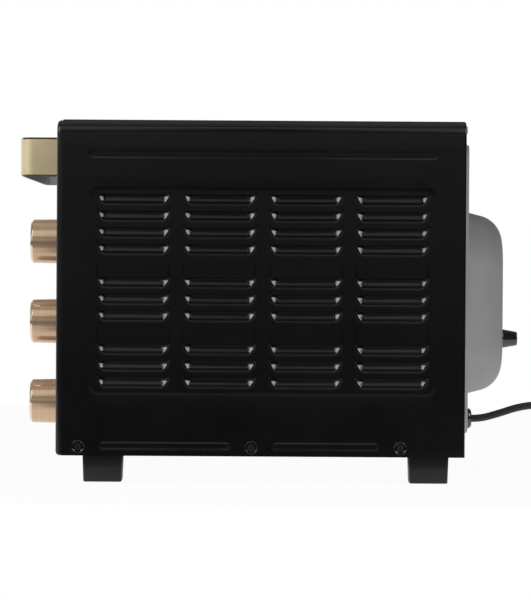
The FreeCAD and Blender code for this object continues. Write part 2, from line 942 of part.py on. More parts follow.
# Handle
def make_handle():
    half = handle_length / 2
    z0 = handle_top - handle_height
    bend = handle_bend
    inner_bend = handle_bend - handle_thick
    x0 = door_mid - half
    x1 = door_mid + half
    outer = plate_xy(x0, x1, handle_front, y_front, z0, handle_top, [0, 0, bend, bend])
    inner = plate_xy(
        x0 + handle_thick,
        x1 - handle_thick,
        handle_front + handle_thick,
        y_front + 1,
        z0 - 1,
        handle_top + 1,
        [0, 0, inner_bend, inner_bend],
    )
    return outer.cut(inner)


def make_handle_brackets():
    blocks = []
    z0 = handle_top - handle_height + bracket_margin
    z1 = handle_top - bracket_margin
    for x, z in handle_screw_spots():
        half = bracket_width / 2
        block = box(x - half, x + half, y_front - bracket_depth, y_front, z0, z1)
        depth = handle_screw_bite + 1 + seat_gap
        hole = rod(V(x, y_front + 1, z), V(0, -1, 0), handle_screw_radius + run_gap, depth)
        blocks.append(block.cut(hole))
    return blocks


def make_handle_screws():
    screws = []
    seat = glass_back + door_skin
    for x, z in handle_screw_spots():
        head = rod(V(x, seat, z), ALONG_Y, handle_screw_head, handle_screw_cap)
        length = seat - y_front + handle_screw_bite
        shank = rod(V(x, seat, z), V(0, -1, 0), handle_screw_radius, length)
        screws.append(head.fuse(shank))
    return group(screws)


# Rack hooks: U-shaped, they reach in below the front bar of the rack and turn up behind it
def make_rack_hooks():
    hooks = []
    start = glass_back + door_skin
    tip = hinge_y + hook_tip
    for side in (-1, 1):
        mid = door_mid + side * (mouth_half - hook_inset + hook_width)
        x0 = mid - hook_width / 2
        x1 = mid + hook_width / 2
        floor = hinge_z + hook_floor
        arm = box(x0, x1, start, tip + hook_thick, floor - hook_thick, floor)
        up = box(x0, x1, tip, tip + hook_thick, floor - hook_thick, hinge_z + hook_top)
        hooks.append(arm.fuse(up).removeSplitter())
    return group(hooks)


# Cavity
def make_cavity_liner():
    y0 = y_inside
    half = cavity_half + sheet
    x0 = door_mid - half
    x1 = door_mid + half
    outer = plate_xz(x0, x1, z_floor, cavity_top + sheet, y0, y_rear, [liner_bend] * 2 + [0, 0])
    inner_bend = liner_bend - sheet
    inner = plate_xz(
        cavity_left, cavity_right, z_floor - 1, cavity_top, y0 - 1, y_rear + 1, [inner_bend] * 2 + [0, 0]
    )
    low = z_base + step_low + 2 * step_slope
    high = z_top - step_high - 2 * step_slope
    back = step_face - sheet
    wings = [
        box(cavity_left - sheet, cavity_left, y_rear, back, low, high),
        box(cavity_right, cavity_right + sheet, y_rear, back, low, high),
    ]
    holes = [
        rod(V(x0 - 1, y, z), ALONG_X, bush_neck + hole_gap, 2 * half + 2) for y, z in heater_spots()
    ]
    hole_y = y_front + bulb_front + bulb_length / 2
    holes.append(rod(V(cavity_right - 1, hole_y, bulb_z()), ALONG_X, wire_radius + hole_gap, sheet + 2))
    return outer.cut(inner).fuse(wings).cut(holes).removeSplitter()


def heater_spots():
    low = mouth_bottom + heater_low_rise
    high = cavity_top - heater_high_drop
    front = y_front + heater_front
    rear = y_front + heater_rear
    return [(front, high), (rear, high), (front, low), (rear, low)]


def make_heaters(spots):
    rods = []
    x0 = cavity_left - heater_end
    x1 = cavity_right + heater_end
    for y, z in spots:
        sheath = rod(V(x0, y, z), ALONG_X, heater_radius, x1 - x0)
        pin = rod(V(x1, y, z), ALONG_X, heater_pin_radius, heater_pin_length)
        rods.append(sheath.fuse(pin))
    return group(rods)


def make_heater_insulators():
    bushes = []
    for y, z in heater_spots():
        for x, way in ((cavity_left, 1), (cavity_right, -1)):
            axis = V(way, 0, 0)
            collar = rod(V(x, y, z), axis, bush_collar, bush_collar_thick)
            neck = rod(V(x, y, z), axis * -1, bush_neck, bush_neck_length)
            start = V(x, y, z) - axis * (bush_neck_length + 1)
            bore = rod(start, axis, heater_radius + run_gap, bush_neck_length + bush_collar_thick + 2)
            bushes.append(collar.fuse(neck).cut(bore))
    return group(bushes)


def bulb_z():
    return cavity_top - bulb_drop


def bulb_x():
    return cavity_right - bulb_clip_thick - bulb_radius - hole_gap


def make_thermostat_bulb():
    y0 = y_front + bulb_front
    z = bulb_z()
    x = bulb_x()
    bulb = rod(V(x, y0, z), ALONG_Y, bulb_radius, bulb_length)
    hole_y = y0 + bulb_length / 2
    through = rod(V(x, hole_y, z), ALONG_X, wire_radius, cavity_right + sheet + capillary_stub - x)
    turn = V(cavity_right + sheet + capillary_stub, hole_y, z)
    wide, deep, tall = thermostat_size
    target = V(knob_x - wide / 4, y_inside + deep * 0.6, knob_z[0] + tall / 2)
    run = [
        V(turn.x - capillary_lap, hole_y, z),
        V(turn.x + capillary_run, hole_y, z),
        V(turn.x + capillary_turn, hole_y - capillary_swing, z - capillary_lap),
        V(target.x, target.y + capillary_sweep, z - capillary_run),
        V(target.x, target.y, z - capillary_turn),
        V(target.x, target.y, target.z),
    ]
    return fused([bulb, through, lead(run, wire_radius)])


def make_bulb_clips():
    clips = []
    z = bulb_z()
    x = bulb_x()
    outer = bulb_radius + hole_gap + bulb_clip_thick
    for share in (0.15, 0.85):
        y = y_front + bulb_front + bulb_length * share - bulb_clip_width / 2
        ring = rod(V(x, y, z), ALONG_Y, outer, bulb_clip_width)
        x0 = cavity_right - bulb_clip_thick
        foot = box(x0, cavity_right, y, y + bulb_clip_width, z - bulb_clip_foot, z + outer)
        hole = rod(V(x, y - 1, z), ALONG_Y, bulb_radius + hole_gap, bulb_clip_width + 2)
        clips.append(ring.fuse(foot).cut(hole).removeSplitter())
    return group(clips)


# Shelf rails, rack and trays
def rail_levels():
    return [rack_z + rail_pitch * k for k in range(rail_count)]


def make_shelf_rails(side):
    wall = door_mid + side * cavity_half
    inner = wall - side * rail_depth
    web = wall - side * rail_sheet
    y0 = y_front + rail_front
    y1 = y0 + rail_length
    rails = []
    for z in rail_levels():
        low = z - rack_frame_radius - seat_gap
        high = z + rack_frame_radius + rail_head_room
        ledge = box(min(wall, inner), max(wall, inner), y0, y1, low - rail_sheet, low)
        guard = box(min(wall, inner), max(wall, inner), y0, y1, high, high + rail_sheet)
        back = box(min(wall, web), max(wall, web), y0, y1, low - rail_sheet, high + rail_sheet)
        rails.append(fused([ledge, guard, back]))
    return group(rails)


def make_wire_rack():
    y0 = rack_front
    y1 = rack_front + rack_length
    mid = V(door_mid, (y0 + y1) / 2, rack_z)
    corner = rack_corner
    start = V(door_mid - rack_half, y0 + corner, rack_z)
    side = rod(start, ALONG_Y, rack_frame_radius, rack_length - 2 * corner)
    other = side.translated(V(2 * rack_half, 0, 0))
    start = V(door_mid - rack_half + corner, y0, rack_z)
    front = rod(start, ALONG_X, rack_frame_radius, 2 * (rack_half - corner))
    rear = front.translated(V(0, rack_length, 0))
    middle = rod(V(door_mid - rack_half, mid.y, rack_z), ALONG_X, rack_frame_radius, 2 * rack_half)
    bends = []
    for sx, sy in ((1, 1), (-1, 1), (-1, -1), (1, -1)):
        heart = V(door_mid + sx * (rack_half - corner), mid.y + sy * (rack_length / 2 - corner), rack_z)
        first = heart + V(sx * corner, 0, 0)
        last = heart + V(0, sy * corner, 0)
        crown = heart + V(sx * corner / math.sqrt(2), sy * corner / math.sqrt(2), 0)
        bend = Part.Wire(Part.Arc(first, crown, last).toShape())
        bends.append(tube(bend, first, V(0, sy, 0), rack_frame_radius))
    height = rack_z + rack_frame_radius + rack_wire_radius - rack_wire_sink
    overhang = rack_frame_radius
    wires = []
    for k in range(rack_wires):
        x = door_mid + (k - (rack_wires - 1) / 2) * rack_wire_pitch
        wires.append(rod(V(x, y0 - overhang, height), ALONG_Y, rack_wire_radius, rack_length + 2 * overhang))
    frame = fused([side, other, front, rear, middle] + bends)
    return frame.multiFuse(wires).removeSplitter()


def pan_floor():
    wire_top = rack_z + rack_frame_radius + 2 * rack_wire_radius - rack_wire_sink
    return wire_top + seat_gap


def make_baking_tray():
    z0 = pan_floor()
    z1 = z0 + pan_height
    mid_y = y_front + pan_front + pan_length / 2
    half_u = pan_half_width - pan_rim
    half_v = pan_length / 2 - pan_rim

    def cup(inset, low):
        high = V(door_mid, mid_y, z1)
        top = round_rect(high, ALONG_X, ALONG_Y, half_u - inset, half_v - inset, [pan_corner] * 4)
        inner = pan_slope + inset
        radii = [pan_corner - pan_slope / 2] * 4
        deep = V(door_mid, mid_y, low)
        bottom = round_rect(deep, ALONG_X, ALONG_Y, half_u - inner, half_v - inner, radii)
        return Part.makeLoft([bottom, top], True, True)

    rim = plate_xy(
        door_mid - pan_half_width,
        door_mid + pan_half_width,
        mid_y - pan_length / 2,
        mid_y + pan_length / 2,
        z1 - pan_sheet,
        z1,
        [pan_corner + pan_rim] * 4,
    )
    return cup(0, z0).fuse(rim).cut(cup(pan_sheet, z0 + pan_sheet)).removeSplitter()


def make_crumb_tray():
    x0 = door_mid - crumb_half
    x1 = door_mid + crumb_half
    y0 = y_front + crumb_setback + crumb_face
    y1 = y_rear - crumb_back_gap
    tray = box(x0, x1, y0, y1, crumb_floor, crumb_floor + crumb_wall)
    brim = crumb_floor + crumb_wall + 1
    room = box(x0 + sheet, x1 - sheet, y0 + sheet, y1 - sheet, crumb_floor + sheet, brim)
    return tray.cut(room)


def make_crumb_tray_front():
    x0 = door_mid - crumb_half
    x1 = door_mid + crumb_half
    y0 = y_front + crumb_setback
    z0 = slot_bottom + crumb_gap
    z1 = slot_top - crumb_gap
    face = box(x0, x1, y0, y0 + crumb_face, z0, z1)
    half = pull_width / 2
    pull = box(door_mid - half, door_mid + half, y0 - pull_reach, y0, z1 - pull_thick, z1)
    tip = y0 - pull_reach
    edge = [e for e in pull.Edges if abs(e.BoundBox.YMax - tip) < 1e-6 and e.BoundBox.XLength > 1]
    return face.fuse(pull.makeFillet(pull_thick * 0.4, edge)).removeSplitter()


# Base plate
def base_tab_spans():
    left = (cavity_left + base_tab_gap, cavity_right - base_tab_gap)
    right = (cavity_right + sheet + base_tab_gap, x_side - case_flange - base_tab_gap)
    return [left, right]


def rear_low_spots():
    left, right = base_tab_spans()
    inset = rear_screw_inset
    return [left[0] + inset, left[1] - inset, (right[0] + right[1]) / 2]


def rear_low_z():
    return z_base + base_flange / 2


def rear_top_z():
    return z_top - rear_inset - rear_screw_radius


def rear_top_spots():
    reach = x_side - case_bend - case_flange
    return [-reach, -reach / 3, reach / 3, reach]


def foot_spots():
    x = x_side - foot_side
    front = y_front + foot_front
    rear = y_front + foot_rear
    return {
        "front_left_foot": (-x, front),
        "front_right_foot": (x, front),
        "rear_left_foot": (-x, rear),
        "rear_right_foot": (x, rear),
    }


def make_base_plate():
    y1 = y_rear - sheet - seat_gap
    plate = box(-base_half, base_half, y_inside, y1, z_base, z_floor)
    pieces = [plate]
    for side in (-1, 1):
        x0 = side * base_half
        x1 = side * (base_half - sheet)
        pieces.append(box(min(x0, x1), max(x0, x1), y_inside, y1, z_base, z_base + base_flange))
    for x0, x1 in base_tab_spans():
        pieces.append(box(x0, x1, y1, y_rear, z_base, z_floor))
        pieces.append(box(x0, x1, y_rear - sheet, y_rear, z_base, z_base + base_flange))
    rib_y = y_front + rib_front
    for side in (-1, 1):
        mid = door_mid + side * (crumb_half - rib_inset)
        half = rib_width / 2
        pieces.append(box(mid - half, mid + half, rib_y, rib_y + rib_length, z_floor, crumb_floor - seat_gap))
    holes = [rod(V(x, y, z_base - 1), ALONG_Z, screw_hole, sheet + 2) for x, y in foot_spots().values()]
    for side in (-1, 1):
        for y, z in side_screw_spots():
            start = V(side * (base_half - 2 * sheet), y, z)
            holes.append(rod(start, V(side, 0, 0), screw_hole, 3 * sheet))
    for x in rear_low_spots():
        holes.append(rod(V(x, y_rear - 2 * sheet, rear_low_z()), ALONG_Y, screw_hole, 3 * sheet))
    return fused(pieces).cut(holes)


def make_foot(x, y):
    wide = V(x, y, z_base)
    narrow = V(x, y, pad_height)
    half_u = foot_across / 2
    half_v = foot_width / 2
    top = round_rect(wide, ALONG_X, ALONG_Y, half_u, half_v, [foot_round] * 4)
    low = round_rect(narrow, ALONG_X, ALONG_Y, half_u - foot_draft, half_v - foot_draft, [foot_round] * 4)
    block = Part.makeLoft([low, top], True, True)
    start = V(x, y, z_base - foot_screw_length - seat_gap)
    hole = rod(start, ALONG_Z, screw_radius + run_gap, foot_screw_length + 1)
    return block.cut(hole)


def make_foot_pads():
    return group([rod(V(x, y, 0), ALONG_Z, pad_radius, pad_height) for x, y in foot_spots().values()])


def make_foot_screws():
    screws = []
    for x, y in foot_spots().values():
        head = rod(V(x, y, z_floor), ALONG_Z, screw_head_radius, screw_head_height)
        shank = rod(V(x, y, z_base - foot_screw_length), ALONG_Z, screw_radius, foot_screw_length + sheet)
        screws.append(head.fuse(shank))
    return group(screws)


# Rear panel
def dome_form(y0, depth, inset):
    half_w = dome_half_width - inset
    half_h = dome_half_height - inset
    mid = V(door_mid, y0, dome_z)
    wide = round_rect(mid, ALONG_X, ALONG_Z, half_w, half_h, [dome_corner - inset] * 4)
    draft = dome_draft
    tip = V(door_mid, y0 + depth, dome_z)
    radii = [dome_corner - inset - draft / 2] * 4
    narrow = round_rect(tip, ALONG_X, ALONG_Z, half_w - draft, half_h - draft, radii)
    form = Part.makeLoft([wide, narrow], True, True)
    rim = [e for e in form.Edges if abs(e.BoundBox.YMin - (y0 + depth)) < 1e-6]
    return form.makeFillet(dome_round - inset, rim)


def step_form(inset):
    z0 = z_base + step_low
    z1 = z_top - step_high
    half_w = x_side - step_side - inset
    half_h = (z1 - z0) / 2 - inset
    mid = V(0, y_rear, (z0 + z1) / 2)
    depth = V(0, rear_step - inset, 0)
    return pressed(mid, ALONG_X, ALONG_Z, half_w, half_h, step_corner, step_slope, depth)


def spacer_spots():
    z = z_base + spacer_rise
    return [(door_mid - spacer_offset, z), (door_mid + spacer_offset, z)]


def vent_slots():
    slots = []
    for k in range(vent_count):
        z = z_base + vent_rise + k * vent_pitch
        half = vent_height / 2
        x0 = knob_x - vent_length / 2
        x1 = knob_x + vent_length / 2
        slots.append(plate_xz(x0, x1, z - half, z + half, y_rear, step_face + 1, [half * 0.96] * 4))
    return slots


def make_rear_panel():
    top = max(case_bend - rear_inset, sheet)
    x1 = x_side - rear_inset
    radii = [top, top, sheet, sheet]
    flange = plate_xz(
        -x1, x1, z_base + rear_foot_inset, z_top - rear_inset, y_rear, y_rear + sheet, radii
    )
    solid = flange.fuse([step_form(0), dome_form(step_face - sheet / 2, dome_depth + sheet / 2, 0)])
    dome_room = dome_form(step_face - 1.5 * sheet, dome_depth + sheet / 2, sheet)
    cuts = [step_form(sheet), dome_room]
    cuts.append(rod(V(cord_x, y_rear, cord_z), ALONG_Y, gland_neck + hole_gap, rear_step + 1))
    for x, z in spacer_spots():
        cuts.append(rod(V(x, dome_face - 3 * sheet, z), ALONG_Y, spacer_stem + hole_gap, 6 * sheet))
    cuts += vent_slots()
    cuts += [rod(V(x, y_rear - 1, rear_top_z()), ALONG_Y, screw_hole, sheet + 2) for x in rear_top_spots()]
    cuts += [rod(V(x, y_rear - 1, rear_low_z()), ALONG_Y, screw_hole, sheet + 2) for x in rear_low_spots()]
    return solid.cut(cuts).removeSplitter()


def make_rear_panel_screws():
    spots = [(x, rear_top_z()) for x in rear_top_spots()] + [(x, rear_low_z()) for x in rear_low_spots()]
    screws = []
    for x, z in spots:
        seat = y_rear + sheet
        head = rod(V(x, seat, z), ALONG_Y, rear_screw_radius, rear_screw_height)
        shank = rod(V(x, seat - screw_length, z), ALONG_Y, screw_radius, screw_length)
        screws.append(head.fuse(shank))
    return group(screws)


def make_spacer(x, z):
    cone = Part.makeCone(spacer_base, spacer_tip, spacer_length, V(x, dome_face, z), ALONG_Y)
    rim = [e for e in cone.Edges if abs(e.BoundBox.YMin - (dome_face + spacer_length)) < 1e-6]
    stem = rod(V(x, dome_face - spacer_stem_length, z), ALONG_Y, spacer_stem, spacer_stem_length)
    return cone.makeFillet(spacer_round, rim).fuse(stem)


# Power cord
def make_strain_relief():
    inside = step_face - sheet
    head = rod(V(cord_x, step_face, cord_z), ALONG_Y, gland_radius, gland_length)
    rim = [e for e in head.Edges if abs(e.BoundBox.YMin - gland_end) < 1e-6]
    head = head.makeFillet(gland_round, rim)
    neck = rod(V(cord_x, inside, cord_z), ALONG_Y, gland_neck, sheet)
    lock = rod(V(cord_x, inside - gland_lock, cord_z), ALONG_Y, gland_neck + gland_catch, gland_lock)
    bore = rod(V(cord_x, inside - gland_lock - 1, cord_z), ALONG_Y, cord_radius + run_gap, gland_end + 2)
    return head.fuse([neck, lock]).cut(bore)


# The free stretch's points: distance behind the gland's end, and height above the gland
cord_route = (
    (0.0, None),
    (9.0, 0.0),
    (25.0, 4.6),
    (44.0, 11.0),
    (64.0, 13.5),
    (86.0, 5.0),
    (127.0, -45.5),
    (151.0, None),
    (174.0, None),
)


def coil_height():
    return cord_radius + tie_thick + tie_gap


def cord_points():
    floor = coil_height()
    points = []
    for k, (behind, rise) in enumerate(cord_route):
        if rise is None:
            z = cord_z if k == 0 else floor
        else:
            z = max(cord_z + rise, floor)
        points.append(V(cord_x, gland_end + behind, z))
    return points


def make_power_cord():
    points = cord_points()
    path, radii = rounded_route(points)
    shape = tube(path, points[0], points[1] - points[0], cord_radius)
    ideal = math.pi * cord_radius ** 2 * path.Length
    print("cord radii", [round(r, 1) for r in radii], "length", round(path.Length, 1))
    print("cord volume over section times length", round(shape.Volume / ideal, 4))
    return shape


# The coil spirals in on the floor, climbs in the half turn where it reverses, spirals out on top and flares
def coil_state(turned):
    low_end = coil_low_turns * 2 * math.pi
    climb = math.pi
    rate = coil_pitch / (2 * math.pi)
    inner = coil_outer - rate * low_end
    if turned <= low_end:
        return coil_outer - rate * turned, 0.0
    past = turned - low_end
    if past <= climb:
        share = past / climb
        radius = inner - rate * (past - past * past / climb)
        return radius, coil_pitch * share * share * (3 - 2 * share)
    leaving = max(turned - coil_end() + math.pi / 2, 0.0) / (math.pi / 2)
    return inner + rate * (past - climb) + coil_flare * leaving * leaving, coil_pitch


def coil_heart():
    return cord_points()[-1] + V(-coil_outer, cord_diameter, 0)


def coil_point(turned):
    radius, rise = coil_state(turned)
    return coil_heart() + V(radius * math.cos(turned), radius * math.sin(turned), rise)


def coil_heading(turned):
    step = 1e-4
    return (coil_point(turned + step) - coil_point(turned - step)).normalize()


def coil_end():
    return (coil_low_turns + 0.5 + coil_high_turns) * 2 * math.pi


def make_cord_coil():
    quarter = math.pi / 2
    count = round(coil_end() / quarter)
    stations = [coil_end() * k / count for k in range(count + 1)]
    points = [coil_point(t) for t in stations]
    headings = [coil_heading(t) for t in stations]
    headings[0] = ALONG_Y
    headings[-1] = V(-1, 0, 0)
    tail = points[-1] + headings[-1] * cord_diameter
    edges = [Part.LineSegment(cord_points()[-1], points[0]).toShape()]
    for k in range(count):
        edges += biarc(points[k], headings[k], points[k + 1], headings[k + 1])
    edges.append(Part.LineSegment(points[-1], tail).toShape())
    path = Part.Wire(edges)
    shape = tube(path, cord_points()[-1], ALONG_Y, cord_radius)
    samples = path.discretize(Number=600)
    spacing = path.Length / 599
    skip = int(3 * cord_diameter / spacing)
    least = min(
        (samples[i] - samples[j]).Length for i in range(0, 600, 2) for j in range(i + skip, 600)
    )
    ideal = math.pi * cord_radius ** 2 * path.Length
    print("coil length", round(path.Length, 1), "least gap to itself", round(least - cord_diameter, 2))
    print("coil volume over section times length", round(shape.Volume / ideal, 4))
    return shape


def make_cord_tie():
    rate = coil_pitch / (2 * math.pi)
    inner = coil_outer - rate * (coil_low_turns + 0.5) * 2 * math.pi
    r0 = inner - cord_radius - 2 * tie_gap
    r1 = coil_outer + cord_radius + 2 * tie_gap
    z0 = -cord_radius - tie_gap / 2
    z1 = coil_pitch + cord_radius + tie_gap / 2
    mid = V((r0 + r1) / 2, -tie_width / 2, (z0 + z1) / 2)
    half_u = (r1 - r0) / 2
    half_v = (z1 - z0) / 2
    corner = cord_radius * 0.6
    room = round_rect(mid, ALONG_X, ALONG_Z, half_u, half_v, [corner] * 4)
    band = round_rect(mid, ALONG_X, ALONG_Z, half_u + tie_thick, half_v + tie_thick, [corner + tie_thick] * 4)
    ring = Part.Face(band).extrude(V(0, tie_width, 0)).cut(Part.Face(room).extrude(V(0, tie_width, 0)))
    ring.rotate(V(0, 0, 0), ALONG_Z, tie_angle)
    return ring.translated(coil_heart())


def plug_start():
    return coil_point(coil_end()) + V(-cord_diameter, 0, 0)


def make_plug_body():
    start = plug_start()
    x0 = start.x - plug_boot
    x1 = x0 - plug_length
    half_z = start.z
    boot = Part.makeCone(plug_neck, plug_neck + plug_flare, plug_boot, start, V(-1, 0, 0))
    y0 = start.y - plug_width / 2
    y1 = start.y + plug_width / 2
    body = box(x1, x0, y0, y1, start.z - half_z, start.z + half_z)
    long_edges = [e for e in body.Edges if e.BoundBox.XLength > plug_length / 2]
    body = body.makeFillet(plug_round, long_edges)
    return boot.fuse(body)


def make_plug_pins():
    start = plug_start()
    face = start.x - plug_boot - plug_length
    y = start.y
    z = start.z + earth_drop / 2
    blades = []
    for side in (-1, 1):
        mid = y + side * blade_pitch / 2
        blades.append(
            box(
                face - blade_length,
                face,
                mid - blade_thick / 2,
                mid + blade_thick / 2,
                z - blade_width / 2,
                z + blade_width / 2,
            )
        )
    earth = rod(V(face, y, z - earth_drop), V(-1, 0, 0), earth_radius, earth_length)
    tip = [e for e in earth.Edges if abs(e.BoundBox.XMax - (face - earth_length)) < 1e-6]
    return group(blades + [earth.makeFillet(earth_radius * 0.6, tip)])


# Wiring inside the control compartment
def block_place():
    wide, deep, tall = block_size
    y1 = y_rear - block_back
    return cord_x - wide / 2, cord_x + wide / 2, y1 - deep, y1, z_floor, z_floor + tall


def make_terminal_block():
    x0, x1, y0, y1, z0, z1 = block_place()
    block = box(x0, x1, y0, y1, z0, z1)
    wells = []
    for k in range(3):
        x = x0 + (x1 - x0) * (k + 0.5) / 3
        floor = V(x, (y0 + y1) / 2, z1 - block_well_depth)
        wells.append(rod(floor, ALONG_Z, block_well_radius, block_well_depth + 1))
    return block.cut(wells)


def make_wiring():
    x0, x1, y0, y1, z0, z1 = block_place()
    half = (z0 + z1) / 2
    jacket = lead(
        [
            V(cord_x, gland_end, cord_z),
            V(cord_x, step_face - jacket_run, cord_z),
            V(cord_x, y1 + jacket_turn, half),
            V(cord_x, y1, half),
        ],
        cord_radius,
    )
    third = (x1 - x0) / 3
    wide, deep, tall = timer_size
    timer_tab = V(knob_x - wide / 2 + tab_thick, y_inside + deep + tab_length, knob_z[2])
    supply = lead(
        [
            V(x0 + third / 2, y0, half),
            V(x0 + third / 2, y0 - wire_straight, half),
            V(timer_tab.x, timer_tab.y + wire_straight, knob_z[2] - tall / 4),
            V(timer_tab.x, timer_tab.y, knob_z[2] - tall / 4),
        ],
        wire_radius,
    )
    reach = switch_radius / 2
    switch_back = y_inside + switch_length + tab_length
    link = lead(
        [
            V(timer_tab.x, timer_tab.y, knob_z[2] + tall / 4),
            V(timer_tab.x, timer_tab.y + wire_lead, knob_z[2] + tall / 4),
            V((timer_tab.x + knob_x - reach) / 2, timer_tab.y + wire_sweep, knob_z[1] - 2 * reach),
            V(knob_x - reach, switch_back + wire_lead, knob_z[1] - reach),
            V(knob_x - reach, switch_back, knob_z[1] - reach),
        ],
        wire_radius,
    )
    thermo_back = y_inside + thermostat_size[1] + tab_length
    thermo_x = knob_x + thermostat_size[0] / 4
    feed = lead(
        [
            V(knob_x + reach, switch_back, knob_z[1] + reach),
            V(knob_x + reach, switch_back + wire_lead, knob_z[1] + reach),
            V(knob_x + reach, switch_back + wire_climb, knob_z[1] + reach + wire_climb),
            V(thermo_x, thermo_back + wire_turn, knob_z[0]),
            V(thermo_x, thermo_back, knob_z[0]),
        ],
        wire_radius,
    )
    pin_x = cavity_right + heater_end + heater_pin_length
    spots = heater_spots()
    upper = lead(
        [
            V(knob_x - thermostat_size[0] / 4, thermo_back, knob_z[0]),
            V(knob_x - thermostat_size[0] / 4, thermo_back + wire_lead, knob_z[0]),
            V(pin_x + wire_clear, spots[0][0] + wire_side, spots[0][1] - wire_drop),
            V(pin_x + wire_clear, spots[0][0], spots[0][1]),
            V(pin_x, spots[0][0], spots[0][1]),
        ],
        wire_radius,
    )
    lower = lead(
        [
            V(knob_x + reach, switch_back, knob_z[1] - reach),
            V(knob_x + reach, switch_back + wire_climb, knob_z[1] - reach),
            V(knob_x - reach, spots[2][0] + wire_offset, knob_z[1] - 3 * reach),
            V(pin_x + wire_reach, spots[2][0], spots[2][1]),
            V(pin_x, spots[2][0], spots[2][1]),
        ],
        wire_radius,
    )
    return group([jacket, supply, link, feed, upper, lower])


# All pieces by name
left_bracket, right_bracket = make_hinge_brackets()
left_grip, right_grip = make_handle_brackets()
spacers = [make_spacer(x, z) for x, z in spacer_spots()]
nodes = {
    "outer_case": make_outer_case(),
    "case_side_screws": make_case_side_screws(),
    "front_frame": make_front_frame(),
    "control_panel": make_control_panel(),
    "indicator_lamp": make_indicator_lamp(),
    "temperature_knob": make_knob(knob_z[0]),
    "function_knob": make_knob(knob_z[1]),
    "timer_knob": make_knob(knob_z[2]),
    "temperature_shaft": make_shaft(knob_z[0]),
    "function_shaft": make_shaft(knob_z[1]),
    "timer_shaft": make_shaft(knob_z[2]),
    "thermostat": make_thermostat(),
    "function_switch": make_function_switch(),
    "timer": make_timer(),
    "control_nuts": make_control_nuts(),
    "door_glass": make_door_glass(),
    "door_frame": make_door_frame(),
    "door_bottom_rail": make_door_bottom_rail(),
    "door_seal": make_door_seal(),
    "left_hinge_bracket": left_bracket,
    "right_hinge_bracket": right_bracket,
    "hinge_pins": make_hinge_pins(),
    "handle": make_handle(),
    "left_handle_bracket": left_grip,
    "right_handle_bracket": right_grip,
    "handle_screws": make_handle_screws(),
    "rack_hooks": make_rack_hooks(),
    "cavity_liner": make_cavity_liner(),
    "upper_heaters": make_heaters(heater_spots()[:2]),
    "lower_heaters": make_heaters(heater_spots()[2:]),
    "heater_insulators": make_heater_insulators(),
    "thermostat_bulb": make_thermostat_bulb(),
    "bulb_clips": make_bulb_clips(),
    "left_shelf_rails": make_shelf_rails(-1),
    "right_shelf_rails": make_shelf_rails(1),
    "wire_rack": make_wire_rack(),
    "baking_tray": make_baking_tray(),
    "crumb_tray": make_crumb_tray(),
    "crumb_tray_front": make_crumb_tray_front(),
    "base_plate": make_base_plate(),
    "foot_pads": make_foot_pads(),
    "foot_screws": make_foot_screws(),
    "rear_panel": make_rear_panel(),
    "rear_panel_screws": make_rear_panel_screws(),
    "left_rear_spacer": spacers[0],
    "right_rear_spacer": spacers[1],
    "strain_relief": make_strain_relief(),
    "power_cord": make_power_cord(),
    "cord_coil": make_cord_coil(),
    "cord_tie": make_cord_tie(),
    "plug_body": make_plug_body(),
    "plug_pins": make_plug_pins(),
    "terminal_block": make_terminal_block(),
    "wiring": make_wiring(),
}
for name, (x, y) in foot_spots().items():
    nodes[name] = make_foot(x, y)

for name, shape in nodes.items():
    if not shape.isValid():
        print("not valid:", name)
    shape.exportStep("parts/" + name + ".step")
print(len(nodes), "nodes")
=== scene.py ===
import json
import math

import bmesh
import bpy
import numpy as np
from mathutils import Matrix, Vector


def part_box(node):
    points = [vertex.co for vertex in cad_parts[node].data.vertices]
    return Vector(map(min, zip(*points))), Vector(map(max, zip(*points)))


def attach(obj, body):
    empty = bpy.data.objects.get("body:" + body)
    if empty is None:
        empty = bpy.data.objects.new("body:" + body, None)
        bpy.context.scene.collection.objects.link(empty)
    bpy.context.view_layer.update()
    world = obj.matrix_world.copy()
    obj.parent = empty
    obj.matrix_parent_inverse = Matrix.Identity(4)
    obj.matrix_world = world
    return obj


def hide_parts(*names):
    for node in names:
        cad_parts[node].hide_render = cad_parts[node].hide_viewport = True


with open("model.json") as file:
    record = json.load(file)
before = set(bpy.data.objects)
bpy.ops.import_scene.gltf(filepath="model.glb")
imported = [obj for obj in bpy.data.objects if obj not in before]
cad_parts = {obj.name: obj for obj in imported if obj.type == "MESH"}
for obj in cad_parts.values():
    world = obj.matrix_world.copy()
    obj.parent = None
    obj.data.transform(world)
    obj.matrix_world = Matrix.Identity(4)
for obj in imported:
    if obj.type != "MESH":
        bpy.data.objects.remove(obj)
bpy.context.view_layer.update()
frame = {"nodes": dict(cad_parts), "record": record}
print("frame loaded:", len(frame["nodes"]), "nodes")

scene = bpy.context.scene
scene.view_settings.view_transform = "Standard"

# places read from the frame, in metres
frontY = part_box("front_frame")[0].y  # front face of the case
caseLow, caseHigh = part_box("outer_case")
rearY, baseZ, topZ = caseHigh.y, caseLow.z, caseHigh.z
panelToSide = 0.0065  # from the control panel's edge to the outside of the case
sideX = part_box("control_panel")[1].x + panelToSide


def addObject(name, data):
    obj = bpy.data.objects.new(name, data)
    scene.collection.objects.link(obj)
    return obj


# camera: the photo's view of the right side, from a little above the middle
camera = dict(distance=3.0, nearSide=0.255, eyeY=-0.0103, eyeZ=0.2013, aimY=-0.0052, aimZ=0.1693,
              rollDegrees=0.36, frameHeight=0.5486, sensor=36.0, clip=(0.05, 60))


